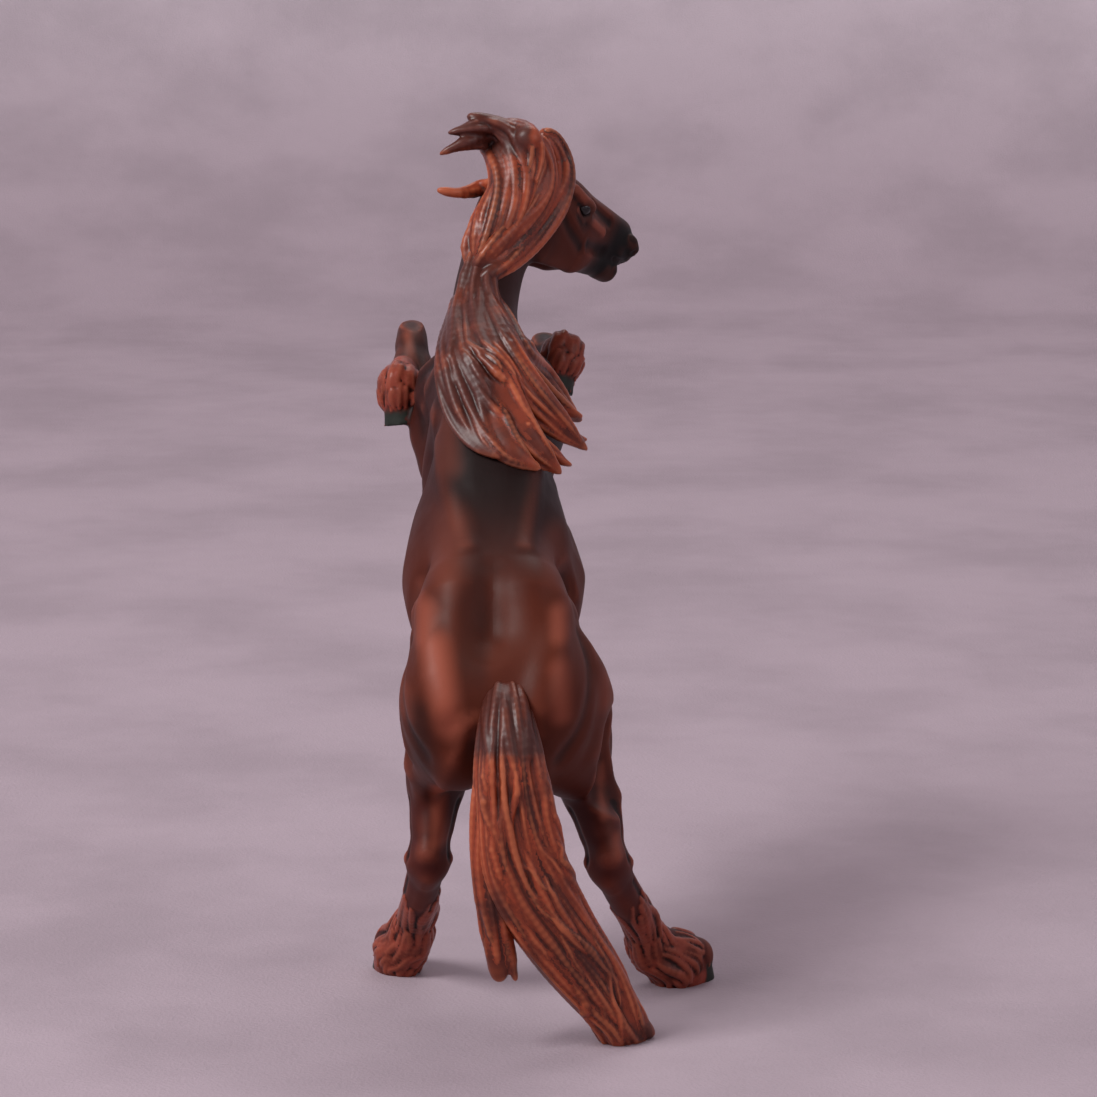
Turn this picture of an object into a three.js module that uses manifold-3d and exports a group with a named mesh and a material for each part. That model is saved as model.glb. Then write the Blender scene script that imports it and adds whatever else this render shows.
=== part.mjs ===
// A model horse, rearing with its head turned to its right, as a cast figurine of glued pieces.
// Millimetres. +Z is up, the horse faces -Y, and its left side is +X.
// The body is sculpted as muscles: tapered round bars between named joints of the skeleton, blended where
// they meet. The skin over them is cut at flat joints into castings, which dowels and wires hold together.

import * as THREE from 'three';
import { mergeVertices } from 'three/addons/utils/BufferGeometryUtils.js';
import Module from 'manifold-3d';

const wasm = await Module();
wasm.setup();

// Stance: where the hips hang over the hooves, and how steeply the body rears

const HIP_HEIGHT = 31.5;
const HIP_SET_BACK = 12.5;
const HIP_SPREAD = 4.9;
const BACK_PITCH = 42;
const CROUP_PITCH = 46;

// Trunk

const BACK_LENGTH = 36;
const BARREL_WIDTH = 16.6;
const BARREL_DEPTH = 22;
const CHEST_WIDTH = 10.4;
const SHOULDER_WIDTH = 14.2;
const SPINE_SWAY = 1;
const BODY_WALL = 2;

// Hind legs

const THIGH_LENGTH = 12.4;
const GASKIN_LENGTH = 14;
const HIND_CANNON_LENGTH = 13;
const HIND_CANNON_WIDTH = 2.7;
const FETLOCK_HEIGHT = 5;
const PASTERN_SLOPE = 3.4;
const GASKIN_WIDTH = 4.9;
const LEG_JOINT_HEIGHT = 22.5;
const LEFT_HOOF_OUT = 10.4;
const LEFT_HOOF_FORWARD = 5;
const RIGHT_HOOF_OUT = 19.6;
const RIGHT_HOOF_FORWARD = 1.2;
const HOOF_LENGTH = 5;
const HOOF_WIDTH = 4.4;
const HOOF_HEIGHT = 2.6;

// Forelegs

const FOREARM_LENGTH = 13.2;
const FORE_CANNON_LENGTH = 9.8;
const FORE_CANNON_WIDTH = 2.4;
const FORE_PASTERN_LENGTH = 2.2;
const FORE_HOOF_HEIGHT = 2.2;
const KNEE_WIDTH = 3.4;

// Neck and head

const NECK_WIDTH = 5.5;
const HEAD_LENGTH = 19;
const HEAD_WIDTH = 6.6;
const HEAD_TURN = 40;
const HEAD_DROP = 22;
const EAR_LENGTH = 4.4;

// Hair

const TAIL_WIDTH = 7.4;
const HAIR_THICKNESS = 2.2;
const HAIR_LIFT = 0.4;
const HAIR_REACH = 6.5;

// Joints and fits

const SEAM_GAP = 0.3;
const DOWEL_RADIUS = 1;
const DOWEL_LENGTH = 6;
const WIRE_RADIUS = 0.7;
const WIRE_LENGTH = 10;
const PIN_CLEARANCE = 0.15;

// Fineness of the skins and of the locks of hair

const TRUNK_CELL = 2.4;
const CAVITY_CELL = 3.4;
const LEG_CELL = 1.3;
const NECK_CELL = 1.6;
const HEAD_CELL = 1.2;
const FORELEG_CELL = 1.15;
const ENVELOPE_CELL = 2;
const LOCK_RINGS = 9;
const LOCK_SIDES = 6;

const X_AXIS = new THREE.Vector3(1, 0, 0);
const UP = new THREE.Vector3(0, 0, 1);

// Places are given the way a horse is looked at: out to its left, forward and up
const at = (left, forward, up) => new THREE.Vector3(left, -forward, up);
const between = (a, b, share) => a.clone().lerp(b, share);

// A frame on the hips that lies with the body: shares of the back's length along it, and of the barrel's
// depth down towards the belly
function bodyFrame(pitch) {
  const angle = THREE.MathUtils.degToRad(pitch);
  const along = at(0, Math.cos(angle), Math.sin(angle));
  const down = at(0, Math.sin(angle), -Math.cos(angle));
  return (left, length, depth) => at(left, -HIP_SET_BACK, HIP_HEIGHT)
    .addScaledVector(along, length * BACK_LENGTH)
    .addScaledVector(down, depth * BARREL_DEPTH);
}

const onBack = bodyFrame(BACK_PITCH);
const onCroup = bodyFrame(CROUP_PITCH);

// The spine sways: the shoulders stand a little to the horse's left of its hips
const pitch = THREE.MathUtils.degToRad(BACK_PITCH);
const sway = (length) => SPINE_SWAY * THREE.MathUtils.smoothstep(length, 0.3, 0.9);
const onSpine = (left, length, depth) => onBack(left + sway(length), length, depth);

function swayed(form) {
  return (x, y, z) => {
    const along = (HIP_SET_BACK - y) * Math.cos(pitch) + (z - HIP_HEIGHT) * Math.sin(pitch);
    return form(x - sway(along / BACK_LENGTH), y, z);
  };
}

// A frame on the poll that lies with the head: shares of its width, of its length and of its length down
const POLL = at(-2.3, 20.6, 78.6);
const turn = THREE.MathUtils.degToRad(HEAD_TURN);
const drop = THREE.MathUtils.degToRad(HEAD_DROP);
const HEAD_LEFT = at(Math.cos(turn), Math.sin(turn), 0);
const HEAD_FORWARD = at(-Math.sin(turn) * Math.cos(drop), Math.cos(turn) * Math.cos(drop), -Math.sin(drop));
const HEAD_UP = HEAD_LEFT.clone().cross(HEAD_FORWARD).negate();
const onHead = (left, length, down) => POLL.clone()
  .addScaledVector(HEAD_LEFT, left * HEAD_WIDTH)
  .addScaledVector(HEAD_FORWARD, length * HEAD_LENGTH)
  .addScaledVector(HEAD_UP, -down * HEAD_LENGTH);

// A bar of muscle: round, tapered, `deep` at its two ends, and `wide` in the direction `across`
function bar(from, to, deep, wide = deep, across = X_AXIS) {
  return { from, run: to.clone().sub(from), deep, wide, across };
}

function outsideBar({ from, run, deep, wide, across }, x, y, z) {
  let ox = x - from.x;
  let oy = y - from.y;
  let oz = z - from.z;
  const length = run.lengthSq();
  const along = length > 0 ? (ox * run.x + oy * run.y + oz * run.z) / length : 0;
  const t = Math.min(Math.max(along, 0), 1);
  ox -= run.x * t;
  oy -= run.y * t;
  oz -= run.z * t;
  const radius = deep[0] + (deep[1] - deep[0]) * t;
  const halfWidth = wide[0] + (wide[1] - wide[0]) * t;
  const stretch = (ox * across.x + oy * across.y + oz * across.z) * (radius / halfWidth - 1);
  const reach = Math.hypot(ox + across.x * stretch, oy + across.y * stretch, oz + across.z * stretch);
  return (reach / radius - 1) * Math.min(radius, halfWidth);
}

// A form says how far a point lies outside it. Two forms that meet are filleted by a blend radius.
function blend(a, b, radius) {
  const near = Math.max(radius - Math.abs(a - b), 0) / radius;
  return Math.min(a, b) - near * near * radius / 4;
}

function flesh(bars, radius) {
  return (x, y, z) => bars.reduce((sum, each) => blend(sum, outsideBar(each, x, y, z), radius), Infinity);
}

function joined(radius, ...forms) {
  return (x, y, z) => forms.reduce((sum, form) => blend(sum, form(x, y, z), radius), Infinity);
}

const mirrored = (form) => (x, y, z) => form(Math.abs(x), y, z);
const grown = (form, by) => (x, y, z) => form(x, y, z) - by;

// The bend between two bones of known length whose far ends are known, on the side that `towards` points to
function bend(start, end, startLength, endLength, towards) {
  const line = end.clone().sub(start);
  const span = line.length();
  const direction = line.clone().normalize();
  const along = (startLength ** 2 - endLength ** 2 + span ** 2) / (2 * span);
  const rise = Math.sqrt(Math.max(startLength ** 2 - along ** 2, 0));
  const out = towards.clone().addScaledVector(direction, -towards.dot(direction)).normalize();
  return start.clone().addScaledVector(direction, along).addScaledVector(out, rise);
}

// Hind legs

function hindBones(hoof, hipOut, fetlockIn, cannonLean) {
  const fetlock = hoof.clone().add(at(fetlockIn, -PASTERN_SLOPE, FETLOCK_HEIGHT));
  const hock = fetlock.clone().addScaledVector(cannonLean.clone().normalize(), HIND_CANNON_LENGTH);
  const hip = onCroup(hipOut, 0, 0);
  const stifle = bend(hock, hip, GASKIN_LENGTH, THIGH_LENGTH, at(0, 1, 0.2));
  const coronet = hoof.clone().add(at(0, -0.7, HOOF_HEIGHT));
  return { hoof, coronet, fetlock, hock, stifle, hip };
}

const leftHoof = at(LEFT_HOOF_OUT, LEFT_HOOF_FORWARD, 0);
const rightHoof = at(-RIGHT_HOOF_OUT, RIGHT_HOOF_FORWARD, 0);
const leftHind = hindBones(leftHoof, HIP_SPREAD - 0.7, -2.2, at(-1.8, -8.9, 9));
const rightHind = hindBones(rightHoof, -HIP_SPREAD - 0.7, 4, at(4.7, -8.2, 9.7));

function thigh({ hip, stifle, hock }, side) {
  const seat = onCroup(side * 3, -0.17, 0.02);
  const back = between(stifle, hock, 0.32).add(at(0, -2.4, 0));
  return flesh([
    bar(hip, between(hip, stifle, 0.7), [6.4, 5], [4.3, 3.9]),
    bar(between(hip, stifle, 0.45), stifle, [5, 3.4], [3.6, 2.6]),
    bar(onCroup(side * 4.2, -0.06, -0.1), between(seat, back, 0.6).add(at(side * 1.3, 1, 0)),
      [4.6, 3.2], [3.4, 2.5]),
    bar(seat, back, [3.4, 1.9], [2.9, 1.9]),
    bar(between(hip, stifle, 0.5).add(at(-side * 2.4, -2.5, 0)), between(stifle, hock, 0.15), [3.6, 2.4]),
  ], 2.2);
}

function gaskin({ stifle, hock }, side) {
  const low = between(stifle, hock, 0.72);
  const pointOfHock = hock.clone().add(at(0, -1.9, 1.2));
  return flesh([
    bar(stifle, between(stifle, hock, 0.45), [3.3, 2.7], [GASKIN_WIDTH / 2, GASKIN_WIDTH * 0.46]),
    bar(between(stifle, hock, 0.3), low, [2.9, 1.5], [GASKIN_WIDTH * 0.5, GASKIN_WIDTH * 0.3]),
    bar(low, hock, [1.5, 1.7], [1.45, 1.75]),
    bar(between(stifle, hock, 0.4).add(at(side * 0.4, -1.8, 0)), pointOfHock, [1.8, 0.9], [1.5, 0.85]),
  ], 1.2);
}

function cannonAndHoof({ hock, fetlock, coronet, hoof }, side) {
  const pointOfHock = hock.clone().add(at(0, -1.9, 1.2));
  const half = HIND_CANNON_WIDTH / 2;
  const tendonTop = hock.clone().add(at(0, -1.5, -1.2));
  const tendonEnd = fetlock.clone().add(at(0, -1.1, 0.4));
  return joined(0.9,
    flesh([
      bar(hock, between(hock, fetlock, 0.2), [2, 1.6], [1.95, 1.6]),
      bar(pointOfHock, hock, [0.95, 1.4]),
      bar(between(hock, fetlock, 0.15), fetlock, [1.35, 1.3], [half, half]),
      bar(tendonTop, tendonEnd, [0.8, 0.8], [0.75, 0.8]),
      bar(fetlock, fetlock, [1.75, 1.75], [1.65, 1.65]),
      bar(fetlock, coronet, [1.5, 1.7], [1.4, 1.7]),
    ], 0.8),
    hoofForm(coronet, hoof),
    feathers(fetlock, hoof, side),
  );
}

// A hoof flares from the coronet to the ground
function hoofForm(coronet, sole) {
  return flesh([
    bar(coronet, sole.clone().add(at(0, 0.4, -0.6)),
      [HOOF_LENGTH * 0.36, HOOF_LENGTH / 2], [HOOF_WIDTH * 0.42, HOOF_WIDTH / 2]),
  ], 0.5);
}

// Feathers: long hair that falls from the fetlock over the heels and the sides of the hoof
function feathers(fetlock, hoof, side) {
  const tufts = [
    [-1, -1, -1.7, -1.5], [0, -1.3, 0, -2.1], [1, -1, 1.7, -1.5], [-1.1, -0.3, -1.9, 0], [1.1, -0.3, 1.9, 0],
  ];
  const fall = hoof.z - fetlock.z + 1;
  return flesh(tufts.map(([left, back, tipLeft, tipBack]) => bar(
    fetlock.clone().add(at(side * left * 0.6, back * 0.6, 0.8)),
    fetlock.clone().add(at(side * tipLeft, tipBack + PASTERN_SLOPE * 0.45, fall)),
    [0.9, 0.95],
  )), 0.9);
}

// Trunk, one side: the other mirrors it

const shoulder = SHOULDER_WIDTH / 2;
const halfTrunk = flesh([
  bar(onCroup(3.3, 0.2, -0.22), onCroup(4, -0.04, -0.12), [4.6, 5], [3.6, 3.8]),
  bar(onCroup(5, 0.17, -0.15), onCroup(5.8, 0.15, -0.1), [1.9, 1.4]),
  bar(onBack(2.4, 0.2, -0.24), onBack(2, 0.82, -0.3), [2.8, 2.3], [2.5, 1.9]),
  bar(onBack(2.2, 0.9, -0.34), onBack(shoulder - 3.2, 1.08, 0.16), [2.6, 3.8], [1.8, 2.6]),
  bar(onBack(shoulder - 3, 1.08, 0.16), onBack(shoulder - 2.6, 0.98, 0.42), [3.8, 3.2], [2.8, 2.4]),
  bar(onBack(2.4, 1.16, 0.2), onBack(2.3, 1.08, 0.42), [3.2, 3], [2.8, 2.5]),
], 2.2);

const middleTrunk = flesh([
  bar(onBack(0, 0.2, 0.06), onBack(0, 0.34, 0.12), [8, 9.4], [6.3, 0.42 * BARREL_WIDTH]),
  bar(onBack(0, 0.34, 0.12), onBack(0, 0.45, 0.15),
    [0.43 * BARREL_DEPTH, 0.49 * BARREL_DEPTH], [0.43 * BARREL_WIDTH, 0.5 * BARREL_WIDTH]),
  bar(onBack(0, 0.45, 0.15), onBack(0, 0.6, 0.15),
    [0.49 * BARREL_DEPTH, 0.5 * BARREL_DEPTH], [0.5 * BARREL_WIDTH, 0.4 * BARREL_WIDTH]),
  bar(onBack(0, 0.6, 0.15), onBack(0, 0.84, 0.12),
    [0.5 * BARREL_DEPTH, 0.49 * BARREL_DEPTH], [0.4 * BARREL_WIDTH, 0.5 * CHEST_WIDTH]),
  bar(onBack(0, 0.84, 0.12), onBack(0, 1.08, 0.18),
    [0.49 * BARREL_DEPTH, 0.34 * BARREL_DEPTH], [0.5 * CHEST_WIDTH, 0.48 * CHEST_WIDTH]),
  bar(onBack(0, 0.86, -0.36), onBack(0, 1.04, -0.36), [2.4, 2.2], [1.6, 1.7]),
  bar(onCroup(0, -0.03, -0.3), onCroup(0, -0.14, -0.22), [2, 1.7]),
], 2.2);

// Neck: it rises from the withers and the breast to the throat

const NECK_LINE = [
  { centre: at(1.5, 15.6, 58), deep: 7.4, wide: NECK_WIDTH * 0.62 },
  { centre: at(1.5, 18, 64), deep: 5.8, wide: NECK_WIDTH * 0.52 },
  { centre: at(0.6, 19.8, 70), deep: 4.8, wide: NECK_WIDTH * 0.48 },
  { centre: at(-1.4, 21.2, 75.5), deep: 4.2, wide: NECK_WIDTH * 0.46 },
];

const neckForm = flesh(NECK_LINE.slice(1).map((upper, i) => {
  const lower = NECK_LINE[i];
  return bar(lower.centre, upper.centre, [lower.deep, upper.deep], [lower.wide, upper.wide]);
}), 1.5);

// Head, in shares of its own width and length

const onHeadBar = (from, to, deep, wide) => bar(onHead(...from), onHead(...to), deep, wide, HEAD_LEFT);

const eachSide = (make) => [-1, 1].map(make);

const headForm = joined(0.7,
  flesh([
    onHeadBar([0, 0.1, 0.17], [0, 0.36, 0.18], [3.3, 3.5], [2.8, 3.1]),
    onHeadBar([0, 0.3, 0.2], [0, 0.86, 0.21], [3.7, 2.1], [2.7, 1.7]),
    onHeadBar([0, 0.26, 0.06], [0, 0.86, 0.14], [1.1, 0.9], [1.9, 1.2]),
    onHeadBar([0, 0.48, 0.36], [0, 0.86, 0.33], [1.5, 1.1], [1.3, 1.1]),
    ...eachSide((side) => onHeadBar(
      [side * 0.3, 0.24, 0.27], [side * 0.25, 0.45, 0.28], [3.2, 2.8], [1.2, 1.1],
    )),
  ], 1.3),
  flesh([
    onHeadBar([0, 0.87, 0.23], [0, 0.95, 0.25], [2.4, 2], [2, 1.8]),
    onHeadBar([0, 0.87, 0.33], [0, 0.92, 0.34], [1.2, 1.1], [1.3, 1.2]),
    ...eachSide((side) => onHeadBar([side * 0.24, 0.92, 0.19], [side * 0.26, 0.95, 0.22], [0.8, 0.6])),
    ...eachSide((side) => onHeadBar([side * 0.37, 0.33, 0.1], [side * 0.42, 0.42, 0.12], [0.8, 0.7])),
    ...eachSide((side) => onHeadBar([side * 0.41, 0.4, 0.16], [side * 0.41, 0.4, 0.16], [0.9, 0.9])),
    ...eachSide((side) => onHeadBar(
      [side * 0.24, 0.02, 0.02], [side * 0.36, -0.03, 0.02 - EAR_LENGTH / HEAD_LENGTH],
      [1, 0.35], [0.9, 0.35],
    )),
  ], 0.6),
);

// Forelegs, folded: the forearm lifts the knee, the cannon lies back from it and the hoof hangs down

function foreBones(elbow, forearmLean, cannonLean, pasternLean) {
  const knee = elbow.clone().addScaledVector(forearmLean.clone().normalize(), FOREARM_LENGTH);
  const fetlock = knee.clone().addScaledVector(cannonLean.clone().normalize(), FORE_CANNON_LENGTH);
  const digit = pasternLean.clone().normalize();
  const coronet = fetlock.clone().addScaledVector(digit, FORE_PASTERN_LENGTH);
  const sole = coronet.clone().addScaledVector(digit, FORE_HOOF_HEIGHT);
  return { elbow, knee, fetlock, coronet, sole, digit };
}

const elbowOut = SHOULDER_WIDTH / 2 - 1.4;
const leftFore = foreBones(
  onSpine(elbowOut, 1.08, 0.4), at(2.2, 10.8, 7.6), at(1, -8.8, -2.6), at(-0.3, -0.4, -3),
);
const rightFore = foreBones(
  onSpine(-elbowOut, 1.08, 0.4), at(0.2, 10.6, 7.2), at(-2, -9, -0.2), at(0.6, -1, -2.6),
);

function forelegForm({ elbow, knee, fetlock, coronet, sole, digit }) {
  const half = FORE_CANNON_WIDTH / 2;
  const low = between(elbow, knee, 0.62);
  const hoof = flesh([bar(coronet, sole, [HOOF_WIDTH * 0.38, HOOF_WIDTH * 0.46])], 0.5);
  const past = (x, y, z) => digit.x * (x - sole.x) + digit.y * (y - sole.y) + digit.z * (z - sole.z);
  return joined(0.8,
    flesh([
      bar(elbow, low, [3, 2], [2.4, 1.7]),
      bar(low, knee, [1.9, 1.5], [1.6, 1.5]),
      bar(knee, between(knee, fetlock, 0.14), [1.75, 1.6], [KNEE_WIDTH / 2, KNEE_WIDTH * 0.46]),
      bar(between(knee, fetlock, 0.1), fetlock, [1.25, 1.15], [half, half]),
      bar(fetlock, fetlock, [1.55, 1.55]),
      bar(fetlock, coronet, [1.3, 1.5]),
    ], 0.8),
    (x, y, z) => Math.max(hoof(x, y, z), past(x, y, z)),
    foreFeathers(fetlock, digit),
  );
}

// The feathers hang from the back of the fetlock, outside the hoof
function foreFeathers(fetlock, digit) {
  const outward = Math.sign(fetlock.x);
  return flesh([-1, 0, 1].map((place) => bar(
    fetlock.clone().add(at(outward * 0.6, place * 0.9, 0.2)),
    fetlock.clone().addScaledVector(digit, 2.2).add(at(outward * 1.4, place * 1.4, 0)),
    [1, 0.75],
  )), 1);
}

// Skin: a closed mesh over a form, with one vertex for each sheet of skin in each cell that the skin crosses

const CORNERS = [0, 1, 2, 3, 4, 5, 6, 7].map((c) => [c & 1, (c >> 1) & 1, (c >> 2) & 1]);
const EDGES = [];
for (let axis = 0; axis < 3; axis++) {
  for (let c = 0; c < 8; c++) {
    if (!((c >> axis) & 1)) EDGES.push([c, c | (1 << axis), axis]);
  }
}
const edgeBetween = (a, b) => EDGES.findIndex(([c, d]) => (c === a && d === b) || (c === b && d === a));
const FACES = [];
for (let axis = 0; axis < 3; axis++) {
  const [u, v] = [1 << ((axis + 1) % 3), 1 << ((axis + 2) % 3)];
  for (const start of [0, 1 << axis]) FACES.push([start, start | u, start | u | v, start | v]);
}

// For each pattern of inside corners, the sheet that each crossed edge belongs to
const sheetsOf = Array.from({ length: 256 }, (unused, pattern) => {
  const inside = (c) => (pattern >> c) & 1;
  const sheet = EDGES.map(([a, b], i) => (inside(a) !== inside(b) ? i : -1));
  const merge = (i, j) => {
    const [from, to] = [sheet[i], sheet[j]];
    sheet.forEach((s, k) => {
      if (s === from) sheet[k] = to;
    });
  };
  for (const face of FACES) {
    const sides = face.map((c, i) => edgeBetween(c, face[(i + 1) % 4]));
    const crossed = sides.filter((e) => sheet[e] >= 0);
    if (crossed.length === 2) merge(crossed[0], crossed[1]);
    if (crossed.length === 4) {
      face.forEach((c, i) => {
        if (inside(c)) merge(sides[(i + 3) % 4], sides[i]);
      });
    }
  }
  return sheet;
});

function onSkin(form, point, cell) {
  const step = cell * 0.05;
  for (let pass = 0; pass < 3; pass++) {
    const { x, y, z } = point;
    const value = form(x, y, z);
    const slope = new THREE.Vector3(
      form(x + step, y, z) - form(x - step, y, z),
      form(x, y + step, z) - form(x, y - step, z),
      form(x, y, z + step) - form(x, y, z - step),
    ).divideScalar(2 * step);
    const steep = Math.max(slope.lengthSq(), 0.05);
    point.addScaledVector(slope, -Math.max(Math.min(value / steep, cell * 0.3), -cell * 0.3));
  }
}

function skin(form, low, high, cell) {
  const count = ['x', 'y', 'z'].map((k) => Math.ceil((high[k] - low[k]) / cell) + 1);
  const node = (i, j, k) => (k * count[1] + j) * count[0] + i;
  const place = (i, j, k) => [low.x + i * cell, low.y + j * cell, low.z + k * cell];
  const values = new Float64Array(count[0] * count[1] * count[2]);
  const edgeOfBox = (i, n) => i === 0 || i === n - 1;
  for (let k = 0; k < count[2]; k++) {
    for (let j = 0; j < count[1]; j++) {
      for (let i = 0; i < count[0]; i++) {
        const value = form(...place(i, j, k));
        const rim = edgeOfBox(i, count[0]) || edgeOfBox(j, count[1]) || edgeOfBox(k, count[2]);
        values[node(i, j, k)] = rim ? Math.max(value, cell * 0.1) : value;
      }
    }
  }
  const positions = [];
  const vertices = new Map();
  const vertexOf = (i, j, k, edge) => {
    const cellValues = CORNERS.map(([a, b, c]) => values[node(i + a, j + b, k + c)]);
    const pattern = cellValues.reduce((bits, value, c) => bits | ((value < 0 ? 1 : 0) << c), 0);
    const sheets = sheetsOf[pattern];
    const key = `${node(i, j, k)}/${sheets[edge]}`;
    if (!vertices.has(key)) {
      const sum = new THREE.Vector3();
      let crossings = 0;
      EDGES.forEach(([a, b], e) => {
        if (sheets[e] !== sheets[edge]) return;
        const t = cellValues[a] / (cellValues[a] - cellValues[b]);
        const start = new THREE.Vector3(...place(i + CORNERS[a][0], j + CORNERS[a][1], k + CORNERS[a][2]));
        const end = new THREE.Vector3(...place(i + CORNERS[b][0], j + CORNERS[b][1], k + CORNERS[b][2]));
        sum.add(start.lerp(end, t));
        crossings++;
      });
      const point = sum.divideScalar(crossings);
      onSkin(form, point, cell);
      vertices.set(key, positions.length / 3);
      positions.push(point.x, point.y, point.z);
    }
    return vertices.get(key);
  };
  const corner = (v) => new THREE.Vector3(positions[3 * v], positions[3 * v + 1], positions[3 * v + 2]);
  const triangles = [];
  for (let k = 0; k < count[2] - 1; k++) {
    for (let j = 0; j < count[1] - 1; j++) {
      for (let i = 0; i < count[0] - 1; i++) {
        for (let axis = 0; axis < 3; axis++) {
          const here = values[node(i, j, k)] < 0;
          const next = [i, j, k];
          next[axis]++;
          if (here === values[node(...next)] < 0) continue;
          const [u, v] = [(axis + 1) % 3, (axis + 2) % 3];
          const ring = [[0, 0], [1, 0], [1, 1], [0, 1]].map(([a, b]) => {
            const base = [i, j, k];
            base[u] -= a;
            base[v] -= b;
            const from = (a << u) | (b << v);
            return vertexOf(...base, edgeBetween(from, from | (1 << axis)));
          });
          if (!here) ring.reverse();
          const [p, q, r, s] = ring;
          const shorter = corner(p).distanceTo(corner(r)) < corner(q).distanceTo(corner(s));
          triangles.push(...(shorter ? [p, q, r, p, r, s] : [q, r, s, q, s, p]));
        }
      }
    }
  }
  const geometry = new THREE.BufferGeometry();
  geometry.setAttribute('position', new THREE.Float32BufferAttribute(positions, 3));
  geometry.setIndex(triangles);
  return geometry;
}

// Solids: closed meshes that can be joined and cut

function solid(geometry) {
  return new wasm.Manifold(new wasm.Mesh({
    numProp: 3,
    vertProperties: geometry.attributes.position.array,
    triVerts: Uint32Array.from(geometry.index.array),
  }));
}

function welded(geometry) {
  const bare = geometry.clone();
  bare.deleteAttribute('normal');
  bare.deleteAttribute('uv');
  return mergeVertices(bare, 1e-4);
}

const joinAll = (solids) => solids.reduce((sum, each) => sum.add(each));

function mainBody(body) {
  return body.decompose().reduce((a, b) => (a.volume() > b.volume() ? a : b));
}

// What lies on the side of a flat cut that `normal` points to, `gap` beyond it
function beyond(body, point, normal, gap) {
  const n = normal.clone().normalize();
  return body.trimByPlane(n.toArray(), n.dot(point) + gap);
}

function rod(start, end, radius, sides = 20) {
  const line = end.clone().sub(start);
  const geometry = new THREE.CylinderGeometry(radius, radius, line.length(), sides);
  const lengthwise = new THREE.Vector3(0, 1, 0);
  geometry.applyQuaternion(new THREE.Quaternion().setFromUnitVectors(lengthwise, line.normalize()));
  const middle = between(start, end, 0.5);
  return solid(welded(geometry.translate(middle.x, middle.y, middle.z)));
}

// A pin through a joint, and the bore that it lies in with clearance all round
function pinned(middle, direction, length, radius) {
  const half = direction.clone().normalize().multiplyScalar(length / 2);
  const more = half.clone().setLength(length / 2 + SEAM_GAP);
  return {
    pin: rod(middle.clone().sub(half), middle.clone().add(half), radius),
    bore: rod(middle.clone().sub(more), middle.clone().add(more), radius + PIN_CLEARANCE),
  };
}

// A lock of hair: a flat tapered strand along a curve, its broad side turned to `face`
function lock(points, width, thickness, face, taper = [0.5, 1, 0.2]) {
  const curve = new THREE.CatmullRomCurve3(points, false, 'centripetal');
    const positions = [];
  const triangles = [];
  for (let i = 0; i <= LOCK_RINGS; i++) {
    const t = i / LOCK_RINGS;
    const centre = curve.getPoint(t);
    const ahead = curve.getTangent(t);
    const sideways = ahead.clone().cross(face).normalize();
    const outward = sideways.clone().cross(ahead).normalize();
    const swell = t < 0.4
      ? THREE.MathUtils.lerp(taper[0], taper[1], Math.sin(t / 0.4 * Math.PI / 2))
      : THREE.MathUtils.lerp(taper[2], taper[1], Math.cos((t - 0.4) / 0.6 * Math.PI / 2));
    for (let s = 0; s < LOCK_SIDES; s++) {
      const angle = s / LOCK_SIDES * Math.PI * 2;
      const point = centre.clone()
        .addScaledVector(sideways, Math.cos(angle) * width / 2 * swell)
        .addScaledVector(outward, Math.sin(angle) * thickness / 2 * Math.sqrt(swell));
      positions.push(...point.toArray());
    }
  }
  const ends = [curve.getPoint(0), curve.getPoint(1)];
  ends.forEach((end) => positions.push(...end.toArray()));
  const index = (ring, s) => ring * LOCK_SIDES + s % LOCK_SIDES;
  const [first, last] = [(LOCK_RINGS + 1) * LOCK_SIDES, (LOCK_RINGS + 1) * LOCK_SIDES + 1];
  for (let s = 0; s < LOCK_SIDES; s++) {
    triangles.push(first, index(0, s), index(0, s + 1), last, index(LOCK_RINGS, s + 1), index(LOCK_RINGS, s));
    for (let i = 0; i < LOCK_RINGS; i++) {
      triangles.push(index(i, s), index(i + 1, s), index(i + 1, s + 1));
      triangles.push(index(i, s), index(i + 1, s + 1), index(i, s + 1));
    }
  }
  const geometry = new THREE.BufferGeometry();
  geometry.setAttribute('position', new THREE.Float32BufferAttribute(positions, 3));
  geometry.setIndex(triangles);
  const made = solid(geometry);
  return made.volume() > 0 ? made : solid(flipped(geometry));
}

function flipped(geometry) {
  const turned = geometry.clone();
  const index = turned.index.array;
  for (let i = 0; i < index.length; i += 3) [index[i], index[i + 1]] = [index[i + 1], index[i]];
  return turned;
}

// Castings of the body

const region = (left, forward, up) => [
  new THREE.Vector3(left[0], -forward[1], up[0]),
  new THREE.Vector3(left[1], -forward[0], up[1]),
];

const leftThigh = thigh(leftHind, 1);
const rightThigh = thigh(rightHind, -1);
const neckAndHead = joined(1.4, neckForm, headForm);
const trunkForm = joined(2.4, swayed(joined(2.4, middleTrunk, mirrored(halfTrunk))), leftThigh, rightThigh);
const topForm = joined(2, trunkForm, neckForm);
const coatForm = joined(2, trunkForm, neckAndHead);

const neckJoint = between(NECK_LINE[0].centre, NECK_LINE[1].centre, 0.8);
const neckRise = NECK_LINE[1].centre.clone().sub(NECK_LINE[0].centre).normalize();
const headJoint = between(NECK_LINE[2].centre, NECK_LINE[3].centre, 0.7);
const throatRise = NECK_LINE[3].centre.clone().sub(NECK_LINE[2].centre).normalize();
const headRise = throatRise.clone().add(HEAD_FORWARD).normalize();

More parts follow.
